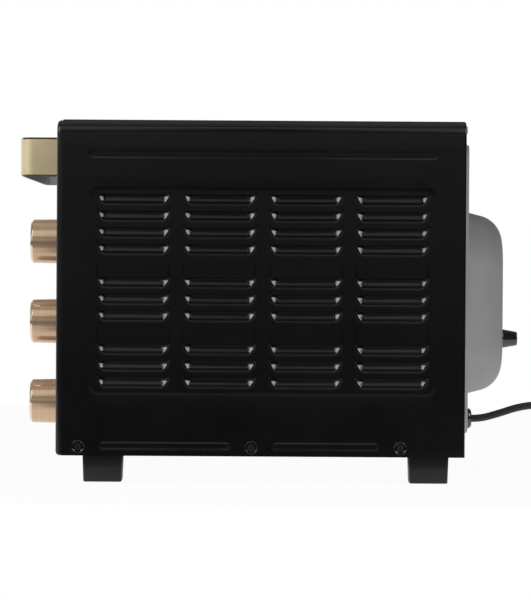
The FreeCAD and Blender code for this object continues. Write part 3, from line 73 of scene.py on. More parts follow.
def makeCamera(c):
    data = bpy.data.cameras.new("photoCamera")
    data.sensor_width = c["sensor"]
    data.sensor_fit = "AUTO"
    data.lens = c["sensor"] * c["distance"] / c["frameHeight"]  # the sensor spans the picture's long side
    data.clip_start, data.clip_end = c["clip"]
    cam = addObject("photoCamera", data)
    eye = Vector((c["nearSide"] + c["distance"], c["eyeY"], c["eyeZ"]))
    aim = Vector((c["nearSide"], c["aimY"], c["aimZ"]))
    turn = (aim - eye).to_track_quat("-Z", "Y").to_matrix().to_4x4()
    roll = Matrix.Rotation(math.radians(c["rollDegrees"]), 4, "Z")
    cam.matrix_world = Matrix.Translation(eye) @ turn @ roll
    scene.camera = cam


makeCamera(camera)
print("camera set")


# meshes from whole arrays
def putMesh(name, points, faces, smooth=True, uv=None, slots=None):
    # points is (n, 3); faces is a list of equal-length index arrays, one array for each face size
    mesh = bpy.data.meshes.new(name)
    faces = [np.asarray(f, dtype=np.int32) for f in faces]
    loops = np.concatenate([f.ravel() for f in faces])
    sizes = np.concatenate([np.full(len(f), f.shape[1], dtype=np.int32) for f in faces])
    starts = np.concatenate([[0], np.cumsum(sizes)[:-1]]).astype(np.int32)
    mesh.vertices.add(len(points))
    mesh.vertices.foreach_set("co", np.asarray(points, dtype=np.float32).ravel())
    mesh.loops.add(len(loops))
    mesh.loops.foreach_set("vertex_index", loops)
    mesh.polygons.add(len(sizes))
    mesh.polygons.foreach_set("loop_start", starts)
    flags = np.broadcast_to(np.asarray(smooth, dtype=bool), len(sizes)).copy()
    mesh.polygons.foreach_set("use_smooth", flags)
    if slots is not None:
        mesh.polygons.foreach_set("material_index", np.asarray(slots, dtype=np.int32))
    mesh.update(calc_edges=True)
    if uv is not None:
        layer = mesh.uv_layers.new(name="uv")
        layer.data.foreach_set("uv", np.asarray(uv, dtype=np.float32)[loops].ravel())
    edges = np.empty(len(loops), dtype=np.int32)
    mesh.loops.foreach_get("edge_index", edges)
    rims = np.bincount(edges, minlength=len(mesh.edges)) == 1  # an open edge shades sharp
    if rims.any():
        mesh.attributes.new("sharp_edge", "BOOLEAN", "EDGE").data.foreach_set("value", rims)
    return addObject(name, mesh)


def gridFaces(rows, columns, closed=False):
    # quads of a grid whose point (i, j) has index i * columns + j; closed joins the last column to the first
    i, j = np.meshgrid(np.arange(rows - 1), np.arange(columns if closed else columns - 1), indexing="ij")
    here, above, right = i * columns, (i + 1) * columns, (j + 1) % columns
    return np.stack([here + j, here + right, above + right, above + j], axis=-1).reshape(-1, 4)


def ringSkin(name, rings, slots=None):
    # closed rings (n, m, 3) joined into a skin; flat end faces close it
    n, m = rings.shape[:2]
    quads = gridFaces(n, m, closed=True)
    ends = np.stack([np.arange(m)[::-1], (n - 1) * m + np.arange(m)])
    smooth = np.arange(len(quads) + len(ends)) < len(quads)
    marks = np.zeros(len(smooth), dtype=np.int32)
    if slots is not None:
        marks[smooth] = np.asarray(slots).ravel()
    u, v = np.meshgrid(np.linspace(0, 1, n), np.arange(m) / m, indexing="ij")
    uv = np.stack([v, u], axis=-1).reshape(-1, 2)
    return putMesh(name, rings.reshape(-1, 3), [quads, ends], smooth, uv, marks)


def lathe(name, profile, centre, steps, slots=None):
    # profile rows are (radius, distance along Y); the outline turns about the line through centre
    radius, along = np.asarray(profile, dtype=float).T[..., None]
    turn = np.linspace(0, 2 * np.pi, steps, endpoint=False)
    rings = np.stack([radius * np.cos(turn), along + 0 * turn, -radius * np.sin(turn)], axis=-1)
    marks = None if slots is None else np.repeat(np.asarray(slots)[:, None], steps, axis=1)
    obj = ringSkin(name, np.asarray(centre) + rings, marks)
    fixNormals(obj)
    return obj


def fixNormals(obj, sharpDegrees=None):
    # faces turned outwards, and edges steeper than sharpDegrees shaded sharp
    work = bmesh.new()
    work.from_mesh(obj.data)
    bmesh.ops.recalc_face_normals(work, faces=work.faces)
    if sharpDegrees:
        for edge in work.edges:
            edge.smooth = edge.calc_face_angle(0.0) < math.radians(sharpDegrees)
    work.to_mesh(obj.data)
    work.free()


def roundCorner(corner, before, after, radius, steps):
    # an arc of this radius in a plane outline's corner, from the run before it to the run after
    c, a, b = (np.asarray(p, dtype=float) for p in (corner, before, after))
    u, v = (a - c) / np.linalg.norm(a - c), (b - c) / np.linalg.norm(b - c)
    half = math.acos(np.clip(np.dot(u, v), -1, 1)) / 2
    reach = radius / math.tan(half)
    heart = c + (u + v) / np.linalg.norm(u + v) * radius / math.sin(half)
    first, last = c + u * reach - heart, c + v * reach - heart
    share = np.linspace(0, 1, steps + 1)[:, None]
    arc = (1 - share) * first + share * last
    return heart + arc / np.linalg.norm(arc, axis=1)[:, None] * radius


def softOutline(points, radii, steps):
    # an open outline with its inner corners rounded; a radius of 0 keeps a corner
    parts = [np.asarray(points[:1], dtype=float)]
    for before, corner, after, radius in zip(points, points[1:], points[2:], radii):
        arc = roundCorner(corner, before, after, radius, steps) if radius else np.array([corner])
        parts.append(arc)
    parts.append(np.asarray(points[-1:], dtype=float))
    return np.concatenate(parts)


def roundRect(halfU, halfV, radius, steps):
    # the outline of a rectangle with rounded corners, turning from +u to +v
    quarter = np.linspace(0, np.pi / 2, steps + 1)
    parts = []
    for k, (su, sv) in enumerate(((1, 1), (-1, 1), (-1, -1), (1, -1))):
        turn = quarter + k * np.pi / 2
        heart = np.array([su * (halfU - radius), sv * (halfV - radius)])
        parts.append(heart + radius * np.stack([np.cos(turn), np.sin(turn)], axis=-1))
    return np.concatenate(parts)


def loft(name, centre, u, v, axis, sections, steps=8):
    # rounded rectangles (half u, half v, corner, place along the axis) joined into one closed skin
    u, v, axis = (np.asarray(d, dtype=float) for d in (u, v, axis))
    rings = []
    for halfU, halfV, corner, place in sections:
        flat = roundRect(halfU, halfV, corner, steps)
        rings.append(np.asarray(centre) + flat[:, :1] * u + flat[:, 1:] * v + place * axis)
    return ringSkin(name, np.stack(rings))


# the body of each node, read from model.json, and the finishes by name
nodeBodies = {node: body for body, nodes in frame["record"]["behaviour"]["bodies"].items() for node in nodes}
finishes = {}


def finish(obj, finishNames, *nodes, body=None):
    # dress a piece with its finishes, put it on its body, and hide the nodes it stands for
    for name in finishNames:
        obj.data.materials.append(finishes[name])
    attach(obj, body or nodeBodies[nodes[0]])
    if nodes:
        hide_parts(*nodes)
    return obj


def camelName(node):
    first, *others = node.split("_")
    return first + "".join(word.title() for word in others)


def faceCentre(node, y):
    # the middle of a node's box in x and z, at this y
    low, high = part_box(node)
    return Vector(((low.x + high.x) / 2, y, (low.z + high.z) / 2))


copied = dict(mergeReach=2e-6, flatDegrees=0.6, sharpDegrees=32.0, bevelSegments=2)


def dressCopy(node, finishName, bevel=0.0, name=None):
    # a merged copy of a CAD node, shaded smooth across gentle edges, with its hard edges eased
    name = name or camelName(node)
    mesh = frame["nodes"][node].data.copy()
    mesh.name = name
    work = bmesh.new()
    work.from_mesh(mesh)
    bmesh.ops.remove_doubles(work, verts=work.verts, dist=copied["mergeReach"])
    if bevel > 0:
        flat = math.radians(copied["flatDegrees"])
        bmesh.ops.dissolve_limit(work, angle_limit=flat, verts=work.verts, edges=work.edges)
    limit = math.radians(copied["sharpDegrees"])
    for face in work.faces:
        face.smooth = True
    for edge in work.edges:
        edge.smooth = len(edge.link_faces) == 2 and edge.calc_face_angle(math.pi) < limit
    work.to_mesh(mesh)
    work.free()
    mesh.materials.clear()
    obj = addObject(name, mesh)
    if bevel > 0:
        ease = obj.modifiers.new("easedEdges", "BEVEL")
        ease.width = bevel
        ease.segments = copied["bevelSegments"]
        ease.limit_method = "ANGLE"
        ease.angle_limit = limit
        ease.harden_normals = True
        ease.use_clamp_overlap = True
    return finish(obj, [finishName], node)


# nodes: a number or colour is set on its socket, and another node's output is linked to it
def setInputs(tree, node, inputs):
    for label, value in inputs.items():
        if isinstance(value, bpy.types.NodeSocket):
            tree.links.new(value, node.inputs[label])
        else:
            node.inputs[label].default_value = value


def newNode(tree, kind, inputs=None, **settings):
    node = tree.nodes.new("ShaderNode" + kind)
    for label, value in settings.items():
        setattr(node, label, value)
    setInputs(tree, node, inputs or {})
    return node


def mathNode(tree, operation, *values, clamp=False):
    return newNode(tree, "Math", dict(enumerate(values)), operation=operation, use_clamp=clamp).outputs[0]


def chain(tree, operation, first, *others):
    # one operation carried through several values
    for value in others:
        first = mathNode(tree, operation, first, value)
    return first


def noiseNode(tree, vector, scale, detail=2.0, rough=0.5):
    inputs = {"Vector": vector, "Scale": scale, "Detail": detail, "Roughness": rough}
    return newNode(tree, "TexNoise", inputs).outputs[0]


# shader groups that several finishes share
def newGroup(name, inputs, outputs):
    tree = bpy.data.node_groups.new(name, "ShaderNodeTree")
    tree.interface.new_socket("Vector", in_out="INPUT", socket_type="NodeSocketVector")
    for label, value in inputs.items():
        socket = tree.interface.new_socket(label, in_out="INPUT", socket_type="NodeSocketFloat")
        socket.default_value = value
    for label in outputs:
        tree.interface.new_socket(label, in_out="OUTPUT", socket_type="NodeSocketFloat")
    return tree, tree.nodes.new("NodeGroupInput").outputs, tree.nodes.new("NodeGroupOutput")


def makeGrainGroup():
    # fine grain height, and a broad cloudy mask for uneven gloss
    tree, given, out = newGroup("grain", dict(Fine=700.0, Broad=14.0), ["Height", "Cloud"])
    fine = noiseNode(tree, given["Vector"], given["Fine"], detail=3.0, rough=0.6)
    broad = noiseNode(tree, given["Vector"], given["Broad"], detail=4.0, rough=0.6)
    setInputs(tree, out, dict(Height=fine, Cloud=broad))
    return tree


def makeBrushGroup(coarseShare=0.23):
    # long scratches: noise drawn out along one direction by a stretched coordinate
    tree, given, out = newGroup("brushed", dict(Scale=1.0), ["Height", "Streak"])
    fine = noiseNode(tree, given["Vector"], given["Scale"], detail=4.0, rough=0.65)
    coarse = noiseNode(tree, given["Vector"], mathNode(tree, "MULTIPLY", given["Scale"], coarseShare))
    setInputs(tree, out, dict(Height=fine, Streak=mathNode(tree, "MULTIPLY", fine, coarse)))
    return tree


def makeSpeckGroup(steepness=9.0):
    # sparse dust specks: only the highest peaks of a small-scale noise
    tree, given, out = newGroup("specks", dict(Scale=420.0, Cut=0.68), ["Mask"])
    noise = noiseNode(tree, given["Vector"], given["Scale"], detail=1.0)
    over = mathNode(tree, "SUBTRACT", noise, given["Cut"])
    setInputs(tree, out, dict(Mask=mathNode(tree, "MULTIPLY", over, steepness, clamp=True)))
    return tree


groups = dict(grain=makeGrainGroup(), brushed=makeBrushGroup(), specks=makeSpeckGroup())


def newMaterial(name):
    material = bpy.data.materials.new(name)
    material.use_nodes = True
    tree = material.node_tree
    return material, tree, tree.nodes["Principled BSDF"]


def placeGroup(tree, name, vector, **values):
    return newNode(tree, "Group", dict(Vector=vector, **values), node_tree=groups[name]).outputs


def coordinates(tree, kind="Object", stretch=(1, 1, 1)):
    source = newNode(tree, "TexCoord").outputs[kind]
    return newNode(tree, "Mapping", dict(Vector=source, Scale=stretch)).outputs["Vector"]


def splitAxes(tree, vector):
    return tuple(newNode(tree, "SeparateXYZ", {0: vector}).outputs)


def ramp(tree, value, low, high, start=0.0, end=1.0):
    # a value or colour that runs from low to high as the mask runs from start to end
    if isinstance(low, (int, float)):
        inputs = {"Value": value, "From Min": start, "From Max": end, "To Min": low, "To Max": high}
        return newNode(tree, "MapRange", inputs).outputs["Result"]
    node = newNode(tree, "ValToRGB", dict(Fac=value))
    for stop, place, colour in zip(node.color_ramp.elements, (start, end), (low, high)):
        stop.position = place
        stop.color = (*colour, 1)
    return node.outputs["Color"]


def bump(tree, height, strength, distance):
    return newNode(tree, "Bump", dict(Height=height, Strength=strength, Distance=distance)).outputs["Normal"]


surface = dict(cloudBand=(0.3, 0.7), streakBand=(0.1, 0.45), smearBand=(0.35, 0.75),
               speckColour=(0.35, 0.34, 0.32, 1), grainRelief=0.0004, brushRelief=0.0003, ribRelief=0.0006)


def grainFinish(name, low, high, rough, metallic=0.0, specular=0.5, fine=700.0, broad=14.0, depth=0.05,
                specks=0.0):
    # painted, moulded and plated surfaces: cloudy colour and gloss, fine grain, a few specks
    material, tree, shader = newMaterial(name)
    vector = coordinates(tree)
    grain = placeGroup(tree, "grain", vector, Fine=fine, Broad=broad)
    colour = ramp(tree, grain["Cloud"], low, high, *surface["cloudBand"])
    if specks > 0:
        share = mathNode(tree, "MULTIPLY", placeGroup(tree, "specks", vector)["Mask"], specks)
        mixed = {0: share, 6: colour, 7: surface["speckColour"]}  # the colour sockets of a Mix node
        colour = newNode(tree, "Mix", mixed, data_type="RGBA").outputs[2]
    setInputs(tree, shader, {
        "Base Color": colour, "Roughness": ramp(tree, grain["Cloud"], *rough, *surface["cloudBand"]),
        "Metallic": metallic, "Specular IOR Level": specular,
        "Normal": bump(tree, grain["Height"], depth, surface["grainRelief"])})
    return material


def brushedFinish(name, low, high, rough, stretch, depth, metallic=1.0):
    # brushed or spun metal: streaks on the UV map, long in the direction that is stretched least
    material, tree, shader = newMaterial(name)
    brush = placeGroup(tree, "brushed", coordinates(tree, "UV", stretch))
    setInputs(tree, shader, {
        "Base Color": ramp(tree, brush["Streak"], low, high, *surface["streakBand"]),
        "Roughness": ramp(tree, brush["Height"], *rough, *surface["cloudBand"]),
        "Metallic": metallic, "Normal": bump(tree, brush["Height"], depth, surface["brushRelief"])})
    return material


def ribbedFinish(name, low, high, rough, ribs, depth):
    # moulded grip: even ribs across the bar, as a rounded wave along X; the colour follows the same wave,
    # darker in the troughs as painted shade
    material, tree, shader = newMaterial(name)
    wave = newNode(tree, "TexWave", dict(Vector=coordinates(tree), Scale=ribs / (2 * math.pi))).outputs["Fac"]
    # colour and relief follow one wave: the troughs are painted darker, as shade
    setInputs(tree, shader, {"Base Color": ramp(tree, wave, low, high), "Roughness": rough,
                             "Normal": bump(tree, wave, depth, surface["ribRelief"])})
    return material


def glassFinish(name, tint, rough, ior, fine, broad):
    # tinted glass with a faint cloudy smear in its gloss
    material, tree, shader = newMaterial(name)
    grain = placeGroup(tree, "grain", coordinates(tree), Fine=fine, Broad=broad)
    setInputs(tree, shader, {"Base Color": (*tint, 1), "Transmission Weight": 1.0, "IOR": ior,
                             "Roughness": ramp(tree, grain["Cloud"], *rough, *surface["smearBand"])})
    return material


grains = dict(  # colour from and to, roughness from and to, and what else differs
    casePaint=((0.0022, 0.0022, 0.0023), (0.0034, 0.0034, 0.0036), (0.13, 0.18),
               dict(specular=0.4, fine=900, depth=0.03, specks=0.01)),
    frontPaint=((0.0034, 0.0034, 0.0036), (0.0052, 0.0052, 0.0055), (0.18, 0.26),
                dict(specular=0.45, fine=1200, depth=0.02)),
    galvanised=((0.29, 0.291, 0.293), (0.32, 0.321, 0.323), (0.56, 0.62),
                dict(metallic=0.1, fine=520, broad=30, depth=0.03)),
    linerSteel=((0.25, 0.25, 0.25), (0.36, 0.355, 0.35), (0.32, 0.5),
                dict(metallic=0.9, fine=460, broad=40)),
    champagne=((0.78, 0.65, 0.4), (0.86, 0.72, 0.45), (0.4, 0.48),
               dict(metallic=0.3, fine=1500, broad=40, depth=0.06)),
    # a dark copy of the champagne for the strap's top and bottom faces and cut edges: painted shade and
    # painted dark reflection
    champagneEdgeShade=((0.06, 0.045, 0.022), (0.09, 0.07, 0.035), (0.3, 0.4), dict(metallic=0.7)),
    markInk=((0.6, 0.56, 0.48), (0.7, 0.66, 0.58), (0.4, 0.5), dict(fine=1500, depth=0.02)),
    blackPlastic=((0.009, 0.009, 0.0095), (0.014, 0.014, 0.0145), (0.42, 0.55),
                  dict(specular=0.4, fine=1500, depth=0.12, specks=0.03)),
    glossPlastic=((0.005, 0.005, 0.0052), (0.008, 0.008, 0.0083), (0.06, 0.1),
                  dict(specular=1.0, fine=900, depth=0.03)),
    rubber=((0.012, 0.012, 0.012), (0.02, 0.02, 0.02), (0.6, 0.75),
            dict(specular=0.35, fine=1100, depth=0.15)),
    sealRubber=((0.03, 0.03, 0.032), (0.05, 0.05, 0.052), (0.55, 0.7), dict(fine=900, depth=0.1)),
    chromeWire=((0.62, 0.62, 0.63), (0.74, 0.74, 0.75), (0.1, 0.2),
                dict(metallic=1.0, fine=300, depth=0.02)),
    zincSteel=((0.42, 0.42, 0.43), (0.58, 0.57, 0.55), (0.25, 0.4), dict(metallic=1.0, fine=800)),
    blackZinc=((0.035, 0.035, 0.036), (0.06, 0.06, 0.061), (0.3, 0.4), dict(metallic=0.9, fine=800)),
    panCoat=((0.012, 0.012, 0.0125), (0.02, 0.02, 0.021), (0.35, 0.5),
             dict(specular=0.45, depth=0.1, specks=0.25)),
    heaterSteel=((0.06, 0.052, 0.046), (0.11, 0.1, 0.09), (0.4, 0.6),
                 dict(metallic=0.8, fine=600, broad=90, depth=0.1)),
    ceramic=((0.74, 0.71, 0.64), (0.82, 0.8, 0.74), (0.45, 0.6), dict(fine=900, depth=0.1)),
    lampLens=((0.42, 0.03, 0.015), (0.55, 0.05, 0.025), (0.08, 0.14), dict(fine=900, depth=0.01)),
    bakelite=((0.03, 0.024, 0.02), (0.05, 0.042, 0.036), (0.35, 0.5), dict(fine=900, depth=0.08)),
    cordJacket=((0.012, 0.012, 0.0125), (0.02, 0.02, 0.021), (0.42, 0.52),
                dict(specular=0.4, fine=1300, depth=0.1)),
    brass=((0.5, 0.36, 0.14), (0.62, 0.47, 0.2), (0.18, 0.3), dict(metallic=1.0, fine=700, depth=0.03)),
)
brushes = dict(  # the same, then the stretch of the streaks
    roseGold=((0.64, 0.44, 0.285), (0.73, 0.52, 0.35), (0.18, 0.25), (3, 900, 1),
              dict(depth=0.015, metallic=0.7)),
    # a lighter, smoother copy of the rose gold for the knobs' chamfer: the lighter colour is a painted
    # highlight
    roseEdgeHighlight=((0.74, 0.6, 0.44), (0.88, 0.74, 0.57), (0.1, 0.16), (3, 400, 1), dict(depth=0.01)),
)
for recipe, table in ((grainFinish, grains), (brushedFinish, brushes)):
    for name, (*looks, others) in table.items():
        finishes[name] = recipe(name, *looks, **others)
finishes["gripInsert"] = ribbedFinish("gripInsert", (0.62, 0.62, 0.58), (0.78, 0.78, 0.74), rough=0.55,
                                      ribs=420.0, depth=0.4)
finishes["doorGlass"] = glassFinish("doorGlass", (0.6, 0.6, 0.615), rough=(0.02, 0.06), ior=1.45,
                                    fine=260, broad=9)

dull = dict(rough=0.6, start=0.3318, full=0.3327)  # the gloss changes between these two heights


def dullTop(material, d):
    # the flat top is rubbed duller than the sides: at least this rough where z is above start to full
    tree = material.node_tree
    shader = tree.nodes["Principled BSDF"]
    plain = shader.inputs["Roughness"].links[0].from_socket
    worn = ramp(tree, splitAxes(tree, coordinates(tree))[2], 0.0, d["rough"], d["start"], d["full"])
    setInputs(tree, shader, dict(Roughness=mathNode(tree, "MAXIMUM", plain, worn)))


dullTop(finishes["casePaint"], dull)
print("finishes made:", len(finishes))


# mains cord: the route out of the bush, then the coil that is put away on the floor
cord = dict(diameter=0.0068, pitch=0.0074, outer=0.041, lowTurns=1.5, highTurns=1.25, flare=0.009,
            pointsPerTurn=16, tieThick=0.0012, tieGap=0.0005, roundSteps=6, alongSteps=6)
cordRoute = (  # behind the bush, and above it; None lies at the coil's height
    (0.0, 0.0), (0.009, 0.0), (0.025, 0.0046), (0.044, 0.011), (0.064, 0.0135), (0.086, 0.005),
    (0.127, -0.0455), (0.151, None), (0.174, None))
glandEnd = faceCentre("strain_relief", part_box("strain_relief")[1].y)
cordFloor = cord["diameter"] / 2 + cord["tieThick"] + cord["tieGap"]


def coilPoints(c, start):
    # turns inwards on the floor, climbs one pitch in the half turn where it reverses, then outwards on top
    lowEnd = c["lowTurns"] * 2 * np.pi
    end = (c["lowTurns"] + 0.5 + c["highTurns"]) * 2 * np.pi
    rate = c["pitch"] / (2 * np.pi)
    turned = np.linspace(0, end, int(end / (2 * np.pi) * c["pointsPerTurn"]) + 1)
    past = np.clip(turned - lowEnd, 0, np.pi)
    after = np.clip(turned - lowEnd - np.pi, 0, None)
    share = past / np.pi
    leaving = np.clip((turned - end) / (np.pi / 2) + 1, 0, 1)
    radius = c["outer"] - rate * (np.minimum(turned, lowEnd) + past - past * past / np.pi - after)
    radius = radius + c["flare"] * leaving ** 2
    rise = c["pitch"] * share * share * (3 - 2 * share)
    heart = np.array([start[0] - c["outer"], start[1] + c["diameter"], start[2]])
    turns = heart + np.stack([radius * np.cos(turned), radius * np.sin(turned), rise], axis=-1)
    tail = turns[-1:] - [c["diameter"], 0, 0]
    return np.concatenate([turns, tail])


def makeCord(c):
    # one smooth curve through the route and the coil
    route = [(glandEnd.x, glandEnd.y + behind, cordFloor if rise is None else glandEnd.z + rise)
             for behind, rise in cordRoute]
    points = np.concatenate([np.array(route), coilPoints(c, route[-1])])
    curve = bpy.data.curves.new("mainsCord", "CURVE")
    curve.dimensions = "3D"
    curve.bevel_depth = c["diameter"] / 2
    curve.bevel_resolution = c["roundSteps"]
    curve.resolution_u = c["alongSteps"]
    curve.use_fill_caps = True
    spline = curve.splines.new("NURBS")
    spline.points.add(len(points) - 1)
    spline.points.foreach_set("co", np.concatenate([points, np.ones((len(points), 1))], axis=1).ravel())
    spline.order_u = 3
    spline.use_endpoint_u = True
    return finish(addObject("mainsCord", curve), ["cordJacket"], "power_cord", "cord_coil"), points


mainsCord, cordPoints = makeCord(cord)
cordTie = dressCopy("cord_tie", "blackPlastic", bevel=0.0003)
plugPins = dressCopy("plug_pins", "brass", bevel=0.0003)


plug = dict(bootLength=0.020, bootStart=0.0044, bootEnd=0.0085, bootRings=15, rib=0.0005, bootCorner=0.98,
            shoulder=0.005, shoulderRings=7, shoulderSoft=0.0025, length=0.036, halfWide=0.0135,
            floorGap=0.0006, corner=0.006, edge=0.0012, edgeRings=5)


def makePlug(p):
    # along -X: a ribbed cone, a shoulder that opens by a quarter sine, a straight body and a rounded edge
    start = cordPoints[-1]
    boot, wide, tall = p["bootEnd"], p["halfWide"], start[2] - p["floorGap"]
    sections = []
    for k, along in enumerate(np.linspace(0, p["bootLength"], p["bootRings"])):
        radius = p["bootStart"] + (boot - p["bootStart"]) * along / p["bootLength"] + p["rib"] * (k % 2)
        sections.append((radius, radius, radius * p["bootCorner"], along))
    for share in np.linspace(0, 1, p["shoulderRings"]):
        ease = math.sin(share * math.pi / 2)
        halfU, halfV = boot + (wide - boot) * ease, boot + (tall - boot) * ease
        corner = min(halfU, halfV, p["corner"] + (1 - ease) * p["shoulderSoft"])
        sections.append((halfU, halfV, corner, p["bootLength"] + p["shoulder"] * share))
    edgeStart = p["bootLength"] + p["length"] - p["edge"]
    sections.append((wide, tall, p["corner"], edgeStart))  # doubled, so sides and edge share no points
    for turn in np.linspace(0, 1, p["edgeRings"] + 1) * math.pi / 2:
        inset = p["edge"] * (1 - math.cos(turn))
        place = edgeStart + p["edge"] * math.sin(turn)
        sections.append((wide - inset, tall - inset, p["corner"] - inset, place))
    body = loft("plugBody", start, (0, 1, 0), (0, 0, -1), (-1, 0, 0), sections)
    return finish(body, ["cordJacket"], "plug_body")


plugBody = makePlug(plug)
print("cord laid:", len(cordPoints), "points")


# outer case: one sheet wrapped over both sides and the top, pressed with louvres, beads and screw dimples
wrap = dict(
    sheet=0.0008, bend=0.012, flange=0.009, edgeRound=0.0012,
    fieldFront=0.0292, fieldLength=0.3196, fieldBottom=0.055, fieldHeight=0.1915, fieldCorner=0.010,
    fieldDepth=0.00018, fieldSlope=0.003,
    columns=4, rows=12, group=4,  # a row that starts a group stays blank, apart from the first
    louvreLength=0.0668, louvreHeight=0.0096, louvreDepth=0.0045, louvrePitch=0.01522, louvreGap=0.0122,
    crease=0.0004, endSlope=0.64, endBlend=0.0022,
    beadWidth=0.0078, beadDepth=0.0006, beadSlope=0.0015, topBeadDrop=0.0312, lowBeadRise=0.0092,
    lowBeads=((0.0398, 0.1205), (0.1983, 0.0978)),  # start behind the front, and length
    dimpleRise=0.0082, dimplePlaces=(0.0205, 0.1793, 0.3159), dimpleRadius=0.0058, dimpleDepth=0.002,
    dimpleSlope=0.0014)
sheetGrid = dict(  # where the sheet has its rows and columns; the lists are millimetres out of a form
    evenStep=0.02, least=0.0003, hair=0.00002, slitClear=0.0004, openDepth=0.0006,
    bendSteps=12, topSteps=7, curlSteps=6,
    louvreEnds=(-4, -1.2, 0, 0.6, 1.2, 1.8, 2.5, 3.4, 4.4, 5.4, 6.3, 7.0, 7.7, 8.3, 8.8, 9.2),
    louvreRows=(1.2, 2.5, 3.9, 5.3, 6.6, 7.7, 8.5, 9.1, 9.6, 10.1, 10.9, -0.8),  # the last is above the slit
    beadEnds=(-3.9, -2.7, -1.5, -1.0, -0.5, 0, 0.6), beadRows=(0, 1.3, 2.0, 2.4, 2.9, 3.4, 3.9, 4.3, 5.0),
    dimpleEnds=(0, 2.2, 4.2, 4.7, 5.2, 5.8, 6.4), dimpleRows=(0, 1.6, 3.2, 4.2, 4.7, 5.2, 5.7, 6.3),
    fieldEdges=(0, 0.8, 1.5, 2.2, 3.0, 4.0))


def louvreGrid(w):
    # step from column to column, the middle of the first column, and the height of the first slit
    columnPitch = w["louvreLength"] + w["louvreGap"]
    span = w["columns"] * columnPitch - w["louvreGap"]
    rise = (w["rows"] - 1) * w["louvrePitch"] + w["louvreHeight"]
    firstY = frontY + w["fieldFront"] + (w["fieldLength"] - span) / 2 + w["louvreLength"] / 2
    firstZ = baseZ + w["fieldBottom"] + (w["fieldHeight"] + rise) / 2
    return columnPitch, firstY, firstZ


def louvreStraight(w):
    # half of the part between the two sloped ends
    return w["louvreLength"] / 2 - w["louvreDepth"] / w["endSlope"] - w["endBlend"] / 2


def soften(depth, crease):
    # the depth where it is over zero, nothing elsewhere, with a parabola of this half width between them
    near = np.clip(depth + crease, 0, 2 * crease)
    return np.where(depth > crease, depth, near * near / (4 * crease))


def easeIn(away, slope):
    # 0 outside, 1 further in than the slope is wide, and a smooth step between them
    share = np.clip(-away / slope, 0, 1)
    return share * share * (3 - 2 * share)


def pressDepth(y, z, w):
    # how far the sheet is pressed in: the sum of a faint sunken field, scoops, beads and dimples
    return fieldDepth(y, z, w) + scoopDepth(y, z, w) + beadDepth(y, z, w) + dimpleDepth(y, z, w)


def fieldDepth(y, z, w):
    # an eased step at the distance from a rectangle with rounded corners
    halfY, halfZ = w["fieldLength"] / 2, w["fieldHeight"] / 2
    pastY = np.abs(y - (frontY + w["fieldFront"] + halfY)) - (halfY - w["fieldCorner"])
    pastZ = np.abs(z - (baseZ + w["fieldBottom"] + halfZ)) - (halfZ - w["fieldCorner"])
    inside = np.minimum(np.maximum(pastY, pastZ), 0)
    away = np.hypot(np.maximum(pastY, 0), np.maximum(pastZ, 0)) + inside - w["fieldCorner"]
    return w["fieldDepth"] * easeIn(away, w["fieldSlope"])


def scoopDepth(y, z, w):
    # a circle's arc that hangs from each slit, less a plain slope past the straight part at either end
    columnPitch, firstY, firstZ = louvreGrid(w)
    column = np.clip(np.round((y - firstY) / columnPitch), 0, w["columns"] - 1)
    row = np.floor((firstZ - z) / w["louvrePitch"])
    below = firstZ - row * w["louvrePitch"] - z
    blank = (row < 0) | (row >= w["rows"]) | ((row > 0) & (row % w["group"] == 0))
    past = np.abs(y - firstY - column * columnPitch) - louvreStraight(w)
    climb = w["endSlope"] * soften(past - w["endBlend"] / 2, w["endBlend"] / 2)
    radius = (w["louvreHeight"] ** 2 + w["louvreDepth"] ** 2) / (2 * w["louvreDepth"])
    arc = np.sqrt(np.maximum(radius ** 2 - below ** 2, 0)) - (radius - w["louvreDepth"])
    return np.where(blank, 0, soften(arc - climb, w["crease"]))


def beadSpans(w):
    # start, length and height of each bead
    spans = [(frontY + w["fieldFront"], w["fieldLength"], topZ - w["topBeadDrop"])]
    return spans + [(frontY + start, length, baseZ + w["lowBeadRise"]) for start, length in w["lowBeads"]]


def beadDepth(y, z, w):
    # round-ended grooves with a flat floor and plain sloped sides
    depth = np.zeros_like(y + z)
    half = w["beadWidth"] / 2
    for start, length, height in beadSpans(w):
        past = np.maximum(np.abs(y - start - length / 2) - (length / 2 - half), 0)
        depth = depth + w["beadDepth"] * np.clip((half - np.hypot(z - height, past)) / w["beadSlope"], 0, 1)
    return depth


def dimpleDepth(y, z, w):
    # round pits with a flat floor and eased sides
    depth = np.zeros_like(y + z)
    for place in w["dimplePlaces"]:
        away = np.hypot(y - frontY - place, z - baseZ - w["dimpleRise"]) - w["dimpleRadius"]
        depth = depth + w["dimpleDepth"] * easeIn(away, w["dimpleSlope"])
    return depth


def listed(name):
    return np.array(sheetGrid[name]) * 0.001


def beside(low, high, name):
    # the listed places below low and above high
    return [low - listed(name), high + listed(name)]


def stations(low, high, extra):
    # even steps with closer ones where a form needs them, none nearer to the last than the least step
    every = np.concatenate([np.arange(low, high, sheetGrid["evenStep"]), *extra, [low, high]])
    every = np.sort(every[(every >= low) & (every <= high)])
    kept = [every[0]]
    for value in every[1:]:
        if value - kept[-1] >= sheetGrid["least"]:
            kept.append(value)
    kept[-1] = high
    return np.array(kept)


def sheetColumns(w):
    # places along the depth of the case
    columnPitch, firstY, _ = louvreGrid(w)
    half = louvreStraight(w)
    near = frontY + w["fieldFront"]
    extra = beside(near + w["fieldLength"], near, "fieldEdges")
    for k in range(w["columns"]):
        middle = firstY + k * columnPitch
        extra += beside(middle - half, middle + half, "louvreEnds")
    for start, length, _ in beadSpans(w):
        extra += beside(start, start + length, "beadEnds")
    for place in w["dimplePlaces"]:
        extra += beside(frontY + place, frontY + place, "dimpleEnds")
    return stations(caseLow.y, rearY - w["edgeRound"], extra)


